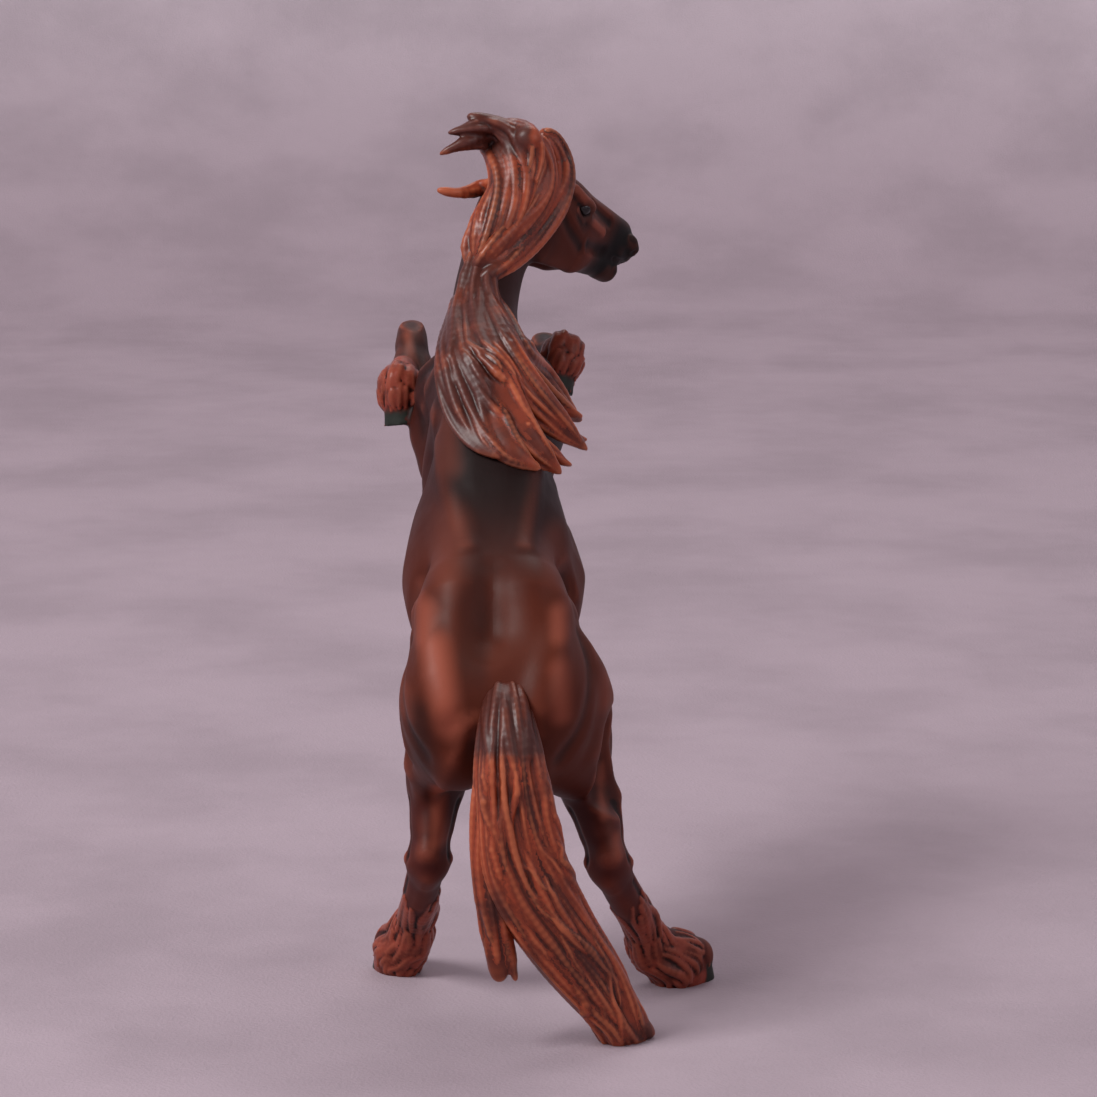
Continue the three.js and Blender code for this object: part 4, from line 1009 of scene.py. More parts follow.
def plan_strands(clay, each, rng, index, width, coat=None):
    """Ridges of hair round a lock, sunk halfway into its mass. They start and end anywhere along it."""
    steps = steps_of(each)
    t, centre, across, out, half_wide, half_thick = lock_frame(each, steps)
    count = max(int(girth(each) / width), 5)
    swell = 0.75 + 0.25 * np.sin(math.pi * t)
    strands = []
    for j in range(count):
        phase, wave, tone = rng.uniform(-1, 1), rng.uniform(-1, 1), rng.uniform()
        broad, proud = rng.uniform(0.6, 1.6), rng.uniform(-0.12, 0.16)
        angle = ((j + 0.4 * phase) / count * 2 * math.pi + each.twist * (t - 0.3)
                 + 0.4 * wave * np.sin((2 + wave) * math.pi * t + 3 * phase))
        path = (centre + across * (np.cos(angle) * half_wide)[:, None]
                + out * (np.sin(angle) * half_thick)[:, None])
        buried = clay.value(path)[0] < -0.45
        if buried.mean() > 0.75:
            continue
        radius = width * 0.56 * broad * swell * np.clip(half_wide / half_wide.max() * 1.6, 0.45, 1)
        path = np.where(buried[:, None], path, clay.settle(path))
        if coat is not None:
            far, rise = coat.value(path)
            path = path + rise * np.maximum(0.1 - far, 0)[:, None]
        path = smoothed(path - clay.value(path)[1] * (radius * 0.4 - proud)[:, None])
        first = 0 if j % 2 else int(steps * rng.uniform(0, 0.3))
        last = steps if j % 3 == 0 else int(steps * rng.uniform(0.7, 1))
        ends = np.minimum(last - np.arange(steps), np.arange(steps) - first + (1 if first else 5))
        radius *= np.clip(ends / 5, 0.3, 1)
        marks = {"tone": 0.25 + 0.75 * tone, "side": 10 * index + j}
        strands.append((path[first:last], radius[first:last], marks))
    return strands


def lay_strands(clay, strands):
    """Adds each strand as a row of short bars, marked with how far along it they lie."""
    blend = 0.08
    for path, radius, marks in strands:
        for i in range(len(path) - 1):
            ridge = bar(path[i], path[i + 1], (radius[i], radius[i + 1]))
            clay.add([ridge], blend, {**marks, "run": i * STRAND_STEP})


def laid(coat, points, root=0.0, tip=0.0):
    """Hair lies on the coat: a point near it moves forward or back until it is just outside it.

    Its first and last points sink into the coat by `root` and `tip`.
    """
    reach, step, gap = 6.5, 0.1, 0.4
    spread = np.arange(reach, -reach, -step)
    settled = []
    for left, forward, up in points:
        tries = np.stack([np.full_like(spread, left), -forward + spread, np.full_like(spread, up)], 1)
        inside = coat.value(tries)[0] < gap
        hit = int(np.argmax(inside))
        forward = -tries[hit][1] if inside.any() and hit > 0 else forward
        settled.append([left, forward, up])
    settled[0][1] += root
    settled[-1][1] += tip
    return settled


def laid_locks(coat, rows, root=0.0, tip=0.0):
    """Locks laid on the coat, each given by its path, width, thickness, face and taper."""
    return [lock(laid(coat, path, root, tip), width, thick, face, taper)
            for path, width, thick, face, taper in rows]


TO_BEHIND = at(0, -1, 0.35)
TO_RIGHT = at(-0.8, -0.7, 0.3)
TAIL_WIDTH = 6.3
HAIR_THICKNESS = 2.2


def tail_locks():
    thick = HAIR_THICKNESS
    rows = [
        ([(-1.2, -18.6, 33.8), (-1.3, -21.6, 31.6), (-1.5, -23.7, 28), (-2.2, -24.4, 21.6), (-4, -24, 15.8),
          (-7, -22.7, 10.6), (-10.2, -21.2, 5.4), (-12.6, -19.7, -0.8)],
         TAIL_WIDTH, thick * 1.6, (0.42, 1, 0.65)),
        ([(-2, -19.6, 32.6), (-3.1, -22.8, 29.6), (-4.4, -23.8, 24), (-5.6, -23.6, 18), (-7.8, -22.2, 12),
          (-11, -20.6, 5.4), (-13.6, -19.4, 1.6), (-14.3, -18.9, 0.8)],
         TAIL_WIDTH * 0.42, thick * 1.3, (0.4, 1, 0.6)),
        ([(-0.5, -19.8, 32.4), (0, -23, 29.4), (0, -24.7, 24), (-0.6, -25, 17), (-3.9, -24.2, 10.6),
          (-8.5, -22.2, 4.4), (-11, -21.2, 1.6), (-11.6, -20.8, 0.4)],
         TAIL_WIDTH * 0.44, thick * 1.3, (0.4, 1, 0.6)),
        ([(-1, -23.8, 29), (-1.4, -25.6, 22), (-3, -25.6, 16), (-6, -24.4, 10.6), (-9.6, -22.8, 5),
          (-12.4, -21.2, 0.8)],
         TAIL_WIDTH * 0.42, thick * 0.9, (0.4, 1, 0.6)),
        ([(-1.2, -18.6, 34), (-1.3, -21.2, 33), (-1.4, -23.8, 30.4), (-1.6, -25.2, 27), (-1.8, -25.4, 24)],
         3.6, thick, (0.7, 1, 0.4)),
        ([(-2.6, -23.6, 26), (-3.6, -25, 20), (-5.4, -24.8, 14.6), (-8.8, -23, 9), (-12, -21, 4.6),
          (-13.9, -20, 2.6)],
         TAIL_WIDTH * 0.34, thick * 0.8, (0.4, 1, 0.5)),
    ]
    return [lock(path, width, deep, TO_BEHIND, taper) for path, width, deep, taper in rows]


def side_locks():
    thick = HAIR_THICKNESS
    return [
        lock([(0.5, -22.4, 28.6), (0.7, -24.2, 25), (0.6, -24.8, 20), (0.2, -24.7, 15), (-0.2, -24.1, 10.4),
              (-0.6, -23.8, 7.6)], 2.5, thick, TO_BEHIND, (0.5, 1, 0.8), 0.4),
        lock([(0.2, -23.4, 24), (-0.2, -24.4, 18), (-0.9, -24.2, 13), (-1.8, -23.6, 8.6), (-2.1, -23.4, 7)],
             1.5, thick * 0.7, TO_BEHIND),
    ]


def upper_mane(coat):
    thick = HAIR_THICKNESS
    roots = [
        ([(1.4, 10.8, 68.6), (-0.2, 13.4, 72.5), (-0.9, 15.6, 76), (-0.5, 17, 78.4), (0.6, 17.6, 80.2),
          (2.6, 17.4, 80.7), (5.4, 16.8, 79.5)], 2.5, thick * 0.8, TO_BEHIND, (0.5, 1, 0.35)),
        ([(1, 11.2, 69.4), (-1.7, 14.6, 73.3), (-2, 16.4, 77), (-1.4, 17.6, 79.3), (-0.2, 18, 81),
          (1.9, 17.8, 81.9), (4.5, 17.4, 81.5)], 2.3, thick * 0.8, TO_BEHIND, (0.5, 1, 0.4)),
    ]
    crown = [
        ([(-1.6, 14, 73), (-3, 16.8, 76.6), (-2.6, 18.4, 79.8), (-1.1, 19, 81.4), (0.8, 18.8, 82.4),
          (2.4, 18.6, 82.9)], 2.6, thick, TO_BEHIND, (0.5, 1, 0.5)),
        ([(-3.2, 17, 76.8), (-3.6, 19, 79.6), (-3.1, 20, 81), (-2, 20.2, 81.6), (-0.4, 19.6, 81.8),
          (1.3, 18.8, 81.9)], 2.7, thick, TO_BEHIND, (0.6, 1, 0.25)),
    ]
    ends = [
        ([(0.6, 15.6, 75.2), (1.5, 14.4, 72.9), (2.3, 13.4, 71.2), (2.5, 12.2, 69.6), (2.3, 10.8, 67.6)],
         2.1, thick * 0.8, TO_BEHIND, (0.6, 1, 0.5)),
        ([(-0.4, 15.2, 76.2), (0.4, 14, 73.4), (1.2, 12.6, 71), (1.9, 11.4, 68.8)],
         2.4, thick * 0.8, TO_BEHIND, (0.7, 1, 0.4)),
    ]
    return laid_locks(coat, roots, 0.9) + laid_locks(coat, crown) + laid_locks(coat, ends, 0, 0.9)


def cheek_locks(coat):
    thick, taper = HAIR_THICKNESS * 0.9, (0.7, 1, 0.5)
    outer = [(-4.6, 19.8, 80.9), (-5.4, 20.8, 80.3), (-6.3, 22, 78.4), (-6.6, 22.2, 76.4), (-5.9, 21, 74.2),
             (-4.1, 18.4, 71.7), (-1.7, 15, 69.7), (0.9, 12, 68), (2.4, 10.4, 66.6)]
    inner = [(-4.2, 19.2, 80.6), (-4.9, 20.2, 78), (-4.4, 19.2, 75.4), (-2.8, 16.6, 73.1),
             (-0.5, 13.6, 71.1), (1.5, 11.4, 69.3), (2.3, 10.6, 68)]
    return [
        lock(laid(coat, outer, 0, 1.1), 2.6, thick, TO_RIGHT, taper),
        lock(laid(coat, inner, 0, 0.9), 2.7, thick, TO_RIGHT, taper),
    ]


def flying_locks(coat):
    path = laid(coat, [(-0.6, 15.6, 76.6), (1.6, 16, 75.8), (3.8, 16, 75.7), (5.5, 15.6, 76)])
    return [lock(path, 1.3, HAIR_THICKNESS * 0.6, TO_BEHIND, (0.9, 1, 0.85))]


def withers_locks(coat):
    thick = HAIR_THICKNESS
    fall_taper, tip_taper, crest_taper = (0.6, 1, 0.22), (0.7, 1, 0.3), (0.7, 1, 0.4)
    fall = [
        ([(1, 8.4, 66), (-0.4, 7, 64.6), (-2.4, 5.6, 61.4), (-4.8, 6.3, 57.9), (-7.4, 8.4, 54.9),
          (-8.3, 9, 54.2)], 3.2, thick * 0.8, TO_RIGHT, fall_taper),
        ([(1.9, 8.3, 66.2), (0.2, 4.6, 62.4), (-2.4, 2.4, 58.6), (-5.9, 3.4, 54.8), (-8.8, 5.4, 52)],
         4, thick, TO_BEHIND, fall_taper),
        ([(2.6, 8.2, 66.2), (1.6, 3.8, 61.8), (-0.8, 0.4, 57), (-4, -0.8, 53), (-6.3, 0, 50.6)],
         4.2, thick * 0.9, TO_BEHIND, fall_taper),
        ([(3.2, 8.2, 65.8), (2.8, 4, 61.2), (1.1, 0, 56.6), (-1.6, -2.2, 53), (-4.4, -1.6, 51.4)],
         3.8, thick * 0.75, TO_BEHIND, fall_taper),
        ([(3.7, 8.2, 65), (4, 4.4, 60.2), (3.1, 0.6, 56.3), (1.5, -1.4, 54), (-0.4, -2.2, 52.8)],
         3, thick * 0.6, TO_BEHIND, fall_taper),
    ]
    tips = [
        ([(-2.8, 5.8, 60.6), (-5.4, 6.4, 57), (-7.2, 7.6, 55.2), (-8.2, 8.2, 54.8)],
         1.4, thick * 0.7, TO_RIGHT, tip_taper),
        ([(-3.6, 3.4, 57), (-6.4, 4.6, 54.2), (-7.8, 5.8, 53), (-8.7, 6.2, 52.8)],
         1.5, thick * 0.7, TO_RIGHT, tip_taper),
        ([(-2.6, 0.6, 55), (-5.4, 1.4, 52.4), (-6.6, 2, 51.3), (-7.2, 2.4, 51)],
         1.4, thick * 0.7, TO_BEHIND, tip_taper),
    ]
    crest = [
        ([(1.7, 11.6, 71), (2.2, 10, 68.4), (2.6, 8.4, 65.4), (3, 5.6, 62), (2.8, 2.4, 58.8)],
         1.9, thick * 0.6, TO_BEHIND, crest_taper),
        ([(0.9, 12, 70), (1.5, 10.2, 67.6), (1.4, 8, 64.8), (0.4, 5.2, 62), (-1.6, 3, 59)],
         2.2, thick * 0.6, TO_BEHIND, crest_taper),
        ([(0.2, 12.4, 69.2), (0.6, 10.2, 67), (-0.2, 8.2, 64.4), (-2.4, 6.8, 61.4), (-4.6, 6.8, 58.4)],
         1.6, thick * 0.6, TO_RIGHT, crest_taper),
    ]
    return laid_locks(coat, fall, 1.3) + laid_locks(coat, tips) + laid_locks(coat, crest, 0.7, 0.3)


# A strand's lightness, how far along it a place lies, and the strand's number, which picks its streaks
HAIR_MARKS = ("tone", "run", "side")
# The numbers of the short locks' strands start here
FIRST_WISP = 200
FIRST_TUFT = 300


def slanting_wisps(clay, rng):
    """Short ridges that cross the mane on the withers from its left edge down to the right."""
    count = 34
    t = np.linspace(0, 1, 10)
    for k in range(count):
        share = (k + rng.uniform(-0.4, 0.4)) / count
        start = between(at(3.4, 3, 63.5), at(1.5, 0, 53.4), share) + X_AXIS * rng.uniform(-3.2, 1)
        run = at(-2.2 - 1.6 * rng.uniform(), -1.8, -3 - 1.4 * rng.uniform())
        sway_aside = 0.4 * rng.uniform(-1, 1) * np.sin(math.pi * t)
        path = start + run * t[:, None] + X_AXIS * sway_aside[:, None]
        if clay.value(path)[0].max() > 3:
            continue
        radius = strand_width() * rng.uniform(0.4, 0.7) * (0.35 + 0.75 * np.sin(math.pi * t))
        path = smoothed(clay.settle(path))
        lay_strands(clay, [(path, radius, {"tone": rng.uniform(0.3, 1), "side": FIRST_WISP + k})])


def tail_tufts(clay, rng):
    """Short locks that cross the strands on the back of the tail."""
    count, steps = 34, 60
    centre, across, out, half_wide, half_thick = lock_frame(tail_locks()[0], steps)[1:]
    t = np.linspace(0, 1, 14)
    for k in range(count):
        start, run = rng.uniform(5, 50), rng.uniform(7, 15)
        along = np.clip(start + np.linspace(0, run, len(t)), 0, steps - 1.1)
        turn = rng.uniform(-1.3, 1.3) + rng.uniform(-0.75, 0.75) * t
        low = along.astype(int)
        middle = between(centre[low], centre[low + 1], (along - low)[:, None])
        path = (middle + across[low] * (np.sin(turn) * half_wide[low])[:, None]
                + out[low] * (np.cos(turn) * half_thick[low] * 1.4)[:, None])
        path = smoothed(clay.settle(path))
        radius = strand_width() * rng.uniform(0.35, 0.8) * (0.3 + 0.8 * np.sin(math.pi * t))
        path = path - clay.value(path)[1] * (0.45 * radius)[:, None]
        lay_strands(clay, [(path, radius, {"tone": rng.uniform(0.3, 1), "side": FIRST_TUFT + k})])


def hair_piece(name, locks, node, coat=None, ground=False, wisps=None):
    """Locks in one piece: their masses, then their strands, then the short locks that cross them."""
    sculpt = bpy.context.scene.horse_sculpt
    rng = np.random.default_rng(sculpt.wisps)
    points = np.concatenate([each.path for each in locks])
    margin = max(each.width for each in locks) / 2 + 1
    clay = Clay(points.min(0) - margin, points.max(0) + margin, sculpt.hair_cell / MM, HAIR_MARKS)
    for each in locks:
        lay_mass(clay, each)
    strands = [strand for index, each in enumerate(locks)
               for strand in plan_strands(clay, each, rng, index, strand_width(), coat)]
    lay_strands(clay, strands)
    if wisps:
        wisps(clay, rng)
    clay.blur()
    if ground:
        clay.trim(at(0, 0, 0), at(0, 0, -1))
    skin, quads = clay.skin()
    marks = {label: clay.mark(label, skin) for label in HAIR_MARKS}
    marks["groove"] = clay.hollow(skin, *HAIR_GROOVE)
    marks["warm"] = hair_warmth(skin)
    piece = mesh_piece(name, skin, quads.tolist(), marks)
    dress(piece, "hair", hair_material(), node)


# Paints

class Wiring:
    """Short calls that add nodes to a tree and join them."""

    def __init__(self, tree):
        self.tree = tree
        tree.nodes.clear()

    def add(self, kind, inputs=None, **settings):
        made = self.tree.nodes.new(kind)
        for label, value in settings.items():
            setattr(made, label, value)
        for label, value in (inputs or {}).items():
            if isinstance(value, bpy.types.NodeSocket):
                self.tree.links.new(value, made.inputs[label])
            else:
                made.inputs[label].default_value = value
        return made

    def mask(self, label):
        return self.add("ShaderNodeAttribute", attribute_name=label).outputs["Fac"]

    def place(self):
        return self.add("ShaderNodeTexCoord").outputs["Object"]

    def noise(self, place, scale, detail, roughness=0.5):
        return self.add("ShaderNodeTexNoise", {
            "Vector": place, "Scale": scale, "Detail": detail, "Roughness": roughness,
        }).outputs["Fac"]

    def mix(self, share, a, b):
        return self.add("ShaderNodeMix", {0: share, 6: a, 7: b}, data_type="RGBA").outputs[2]

    def product(self, a, b):
        return self.add("ShaderNodeMath", {0: a, 1: b}, operation="MULTIPLY").outputs[0]

    def scale(self, value, low, high, to_low=0.0, to_high=1.0):
        return self.add("ShaderNodeMapRange", {
            "Value": value, "From Min": low, "From Max": high, "To Min": to_low, "To Max": to_high,
        }, interpolation_type="SMOOTHSTEP").outputs["Result"]

    def group(self, tree, inputs):
        return self.add("ShaderNodeGroup", inputs, node_tree=tree).outputs


def rgba(values):
    return (*values, 1)


def node_group(name, inputs, outputs):
    """A new shader group with named sockets, and its inner input and output nodes."""
    tree = bpy.data.node_groups.new(name, "ShaderNodeTree")
    for way, sockets in (("INPUT", inputs), ("OUTPUT", outputs)):
        for label, kind, default in sockets:
            socket = tree.interface.new_socket(name=label, in_out=way, socket_type=f"NodeSocket{kind}")
            if default is not None:
                socket.default_value = default
    wiring = Wiring(tree)
    return wiring, wiring.add("NodeGroupInput").outputs, wiring.add("NodeGroupOutput").inputs


def mottle_group():
    """Airbrushed paint: soft patches of a second colour."""
    name = "Airbrushed mottle"
    if name in bpy.data.node_groups:
        return bpy.data.node_groups[name]
    wiring, given, result = node_group(name, [
        ("Colour", "Color", (0.5, 0.5, 0.5, 1)), ("Second colour", "Color", (0, 0, 0, 1)),
        ("Patches per metre", "Float", 90.0), ("Amount", "Float", 0.5),
    ], [("Colour", "Color", None)])
    noise = wiring.noise(wiring.place(), given["Patches per metre"], 5.0, 0.55)
    share = wiring.product(wiring.scale(noise, 0.35, 0.7), given["Amount"])
    wiring.tree.links.new(wiring.mix(share, given["Colour"], given["Second colour"]), result["Colour"])
    return wiring.tree


def shade_and_highlight_group():
    """Paint over relief: a dark wash that paints shade into the grooves, and a light drybrush that paints
    highlight onto the ridges.
    """
    name = "Wash and drybrush"
    if name in bpy.data.node_groups:
        return bpy.data.node_groups[name]
    wiring, given, result = node_group(name, [
        ("Colour", "Color", (0.5, 0.5, 0.5, 1)), ("Groove shade", "Color", (0, 0, 0, 1)),
        ("Ridge highlight", "Color", (1, 1, 1, 1)), ("Groove", "Float", 0.0),
        ("Groove shade amount", "Float", 0.8), ("Ridge highlight amount", "Float", 0.5),
    ], [("Colour", "Color", None)])
    # How much painted shade each groove takes, and how much painted highlight each ridge takes
    shade_share = wiring.product(wiring.scale(given["Groove"], 0.0, 0.5), given["Groove shade amount"])
    highlight_share = wiring.product(wiring.scale(given["Groove"], -0.1, -0.6), given["Ridge highlight amount"])
    groove_shaded = wiring.mix(shade_share, given["Colour"], given["Groove shade"])
    wiring.tree.links.new(wiring.mix(highlight_share, groove_shaded, given["Ridge highlight"]), result["Colour"])
    return wiring.tree


def orange_peel_group():
    """The fine uneven skin of sprayed paint: a height for bump and a roughness that varies."""
    name = "Sprayed skin"
    if name in bpy.data.node_groups:
        return bpy.data.node_groups[name]
    wiring, given, result = node_group(name, [
        ("Smoothest", "Float", 0.3), ("Roughest", "Float", 0.5), ("Grains per metre", "Float", 3000.0),
    ], [("Height", "Float", None), ("Roughness", "Float", None)])
    place = wiring.place()
    fine = wiring.noise(place, given["Grains per metre"], 3.0)
    broad = wiring.noise(place, 260.0, 3.0)
    rough = wiring.add("ShaderNodeMapRange", {
        "Value": broad, "From Min": 0.3, "From Max": 0.7,
        "To Min": given["Smoothest"], "To Max": given["Roughest"],
    }).outputs["Result"]
    wiring.tree.links.new(fine, result["Height"])
    wiring.tree.links.new(rough, result["Roughness"])
    return wiring.tree


def new_material(name):
    material = bpy.data.materials.new(name)
    material.use_nodes = True
    return material, Wiring(material.node_tree)


def finish_material(wiring, tint, roughness, height, bump, coat, coat_roughness,
                    strength=0.25, specular=0.15):
    """Paint under a clear coat, on a skin that is uneven by `bump` metres."""
    normal = wiring.add("ShaderNodeBump", {
        "Height": height, "Distance": bump, "Strength": strength,
    }).outputs[0]
    shader = wiring.add("ShaderNodeBsdfPrincipled", {
        "Base Color": tint, "Roughness": roughness, "Normal": normal,
        "Coat Weight": coat, "Coat Roughness": coat_roughness, "Specular IOR Level": specular,
    })
    wiring.add("ShaderNodeOutputMaterial", {"Surface": shader.outputs[0]})


def coat_material():
    if "Chestnut coat" in bpy.data.materials:
        return bpy.data.materials["Chestnut coat"]
    paint = bpy.context.scene.horse_paint
    material, wiring = new_material("Chestnut coat")
    tint = wiring.group(mottle_group(), {
        "Colour": rgba(paint.coat), "Second colour": rgba(paint.haunch),
        "Patches per metre": 70.0, "Amount": 0.3,
    })["Colour"]
    # Redder haunches, dark legs and black muzzle are the coat's own colours; the dark mark adds the painted
    # shadow under the mane and darker coat in a few places
    for label, shade in (
        ("haunch", paint.haunch), ("leg", paint.leg), ("dark", paint.dark_coat_and_shade), ("muzzle", paint.muzzle),
    ):
        tint = wiring.mix(wiring.mask(label), tint, rgba(shade))
    tuft = wiring.group(mottle_group(), {
        "Colour": rgba(paint.feather), "Second colour": rgba(paint.dark_hair_and_groove_shade),
        "Patches per metre": 420.0, "Amount": 0.75,
    })["Colour"]
    tint = wiring.mix(wiring.mask("feather"), tint, tuft)
    # Airbrushed lighter coat, which is also the painted highlight of the satin finish
    lit = wiring.mix(wiring.mask("light"), tint, rgba(paint.airbrushed_highlight))
    # Painted shade in the hollows between the muscles and painted highlight on their crests
    shaded = wiring.group(shade_and_highlight_group(), {
        "Colour": lit, "Groove shade": rgba(paint.dark_coat_and_shade), "Ridge highlight": rgba(paint.airbrushed_highlight),
        "Groove": wiring.mask("hollow"), "Groove shade amount": 0.35, "Ridge highlight amount": 0.15,
    })["Colour"]
    # Painted shade in the fine grooves and painted highlight on the fine ridges, which stay black on the
    # muzzle
    edge = wiring.mix(wiring.mask("muzzle"), rgba(paint.airbrushed_highlight), rgba(paint.muzzle))
    groove_shaded = wiring.group(shade_and_highlight_group(), {
        "Colour": shaded, "Groove shade": rgba(paint.dark_coat_and_shade), "Ridge highlight": edge,
        "Groove": wiring.mask("groove"), "Groove shade amount": 0.85, "Ridge highlight amount": 0.6,
    })["Colour"]
    painted = wiring.mix(wiring.mask("hoof"), groove_shaded, rgba(paint.hoof))
    skin = wiring.group(orange_peel_group(), {"Smoothest": 0.46, "Roughest": 0.6})
    rough = wiring.add("ShaderNodeMath", {
        0: wiring.mask("feather"), 1: -0.2, 2: skin["Roughness"],
    }, operation="MULTIPLY_ADD").outputs[0]
    finish_material(wiring, painted, rough, skin["Height"],
                    bump=0.00004, coat=0.02, coat_roughness=0.35, specular=0.14)
    return material


def hair_material():
    if "Copper hair" in bpy.data.materials:
        return bpy.data.materials["Copper hair"]
    paint = bpy.context.scene.horse_paint
    material, wiring = new_material("Copper hair")
    strand = wiring.add("ShaderNodeCombineXYZ", {
        "X": wiring.mask("side"), "Y": wiring.scale(wiring.mask("run"), 0.0, 60.0, 0.0, 20.0),
        "Z": wiring.mask("tone"),
    }).outputs[0]
    streak = wiring.noise(strand, 0.35, 1.0)
    copper = wiring.mix(wiring.scale(streak, 0.4, 0.66), rgba(paint.hair), rgba(paint.hair_shade))
    cloud = wiring.noise(wiring.place(), 210.0, 3.0)
    patchy = wiring.add("ShaderNodeMath", {
        0: wiring.mask("warm"), 1: wiring.scale(cloud, 0.3, 0.62, -0.3, 0.35),
    }, operation="ADD").outputs[0]
    warm = wiring.scale(patchy, 0.15, 0.95)
    tone = wiring.mix(warm, rgba(paint.hair_shade), copper)
    # Painted highlight on the ridges of the strands: bright copper on warm hair, pink-grey on dark hair; the
    # wash paints shade into the grooves
    ridge = wiring.mix(warm, rgba(paint.dark_hair_ridge_highlight), rgba(paint.hair_ridge_highlight))
    groove_shaded = wiring.group(shade_and_highlight_group(), {
        "Colour": tone, "Groove shade": rgba(paint.dark_hair_and_groove_shade), "Ridge highlight": ridge,
        "Groove": wiring.mask("groove"), "Groove shade amount": 0.72, "Ridge highlight amount": 0.5,
    })["Colour"]
    skin = wiring.group(orange_peel_group(), {"Smoothest": 0.32, "Roughest": 0.48})
    finish_material(wiring, groove_shaded, skin["Roughness"], skin["Height"],
                    bump=0.00005, coat=0.06, coat_roughness=0.3, specular=0.28)
    return material


def eye_material():
    material, wiring = new_material("Glossy eye")
    paint = bpy.context.scene.horse_paint
    tint = wiring.group(mottle_group(), {
        "Colour": (0.006, 0.005, 0.005, 1), "Second colour": rgba(paint.dark_coat_and_shade),
        "Patches per metre": 900.0, "Amount": 0.6,
    })["Colour"]
    skin = wiring.group(orange_peel_group(), {"Smoothest": 0.05, "Roughest": 0.1})
    finish_material(wiring, tint, skin["Roughness"], skin["Height"],
                    bump=0.00001, coat=0.6, coat_roughness=0.05)
    return material


def pin_material():
    paint = bpy.context.scene.horse_paint
    material, wiring = new_material("Brushed steel")
    drawn = wiring.add("ShaderNodeMapping", {
        "Vector": wiring.place(), "Scale": (400, 9000, 9000),
    }).outputs[0]
    grain = wiring.noise(drawn, 1.0, 2.0)
    tint = wiring.group(mottle_group(), {
        "Colour": rgba(paint.pin), "Second colour": (0.1, 0.1, 0.1, 1),
        "Patches per metre": 500.0, "Amount": 0.4,
    })["Colour"]
    normal = wiring.add("ShaderNodeBump", {
        "Height": grain, "Distance": 0.00002, "Strength": 0.4,
    }).outputs[0]
    shader = wiring.add("ShaderNodeBsdfPrincipled", {
        "Base Color": tint, "Metallic": 1.0, "Roughness": wiring.scale(grain, 0.3, 0.7, 0.3, 0.45),
        "Normal": normal,
    })
    wiring.add("ShaderNodeOutputMaterial", {"Surface": shader.outputs[0]})
    return material


# Paint masks on the castings

def near_stroke(points, line, radius):
    """One on a line drawn over the horse from behind, falling to nothing at a distance of `radius`."""
    flat = points[:, [0, 2]]
    nearest = np.full(len(points), np.inf)
    for start, end in zip(line, line[1:]):
        start, run = np.array(start), np.subtract(end, start)
        t = np.clip(((flat - start) @ run) / (run @ run), 0, 1)
        nearest = np.minimum(nearest, np.linalg.norm(flat - start - t[:, None] * run, axis=1))
    return smoothstep(nearest, radius, 0)


# Strokes of airbrushed lighter coat that paint the finish's highlights: a line seen from behind, the radius
# at which it fades out and its strength
AIRBRUSHED_HIGHLIGHTS = [
    ([(6.3, 40.2), (6.3, 38)], 1.9, 0.6),
    ([(5.4, 37.4), (4.6, 34), (3.9, 30.6)], 2.3, 0.9),
    ([(1.5, 31.4), (1.7, 29.6)], 1.1, 0.35),
    ([(-3.8, 31.6), (-4.2, 29.8)], 1.1, 0.3),
    ([(-6.1, 40), (-6.2, 38.4)], 1.5, 0.55),
    ([(-6.2, 35.6), (-6.4, 31.4)], 1.6, 0.55),
    ([(4, 47), (4.4, 43.6)], 3, 0.25),
    ([(-5.6, 45.4), (-5.9, 43)], 2, 0.2),
    ([(4.6, 55), (4.2, 52)], 2, 0.22),
    ([(-10.8, 33), (-10.6, 31)], 1.6, 0.3),
    ([(8.4, 33), (8.2, 31)], 1.5, 0.25),
    ([(5.3, 22.6), (5.2, 16.6)], 1.2, 1),
    ([(-10, 23.4), (-10.4, 19.4)], 0.8, 0.55),
    ([(-11.6, 17.4), (-11.8, 16)], 0.9, 0.5),
    ([(9.2, 59.4), (8.2, 55.6)], 0.8, 0.5),
    ([(-7.6, 75.8), (-9, 74.8)], 1.1, 0.45),
]


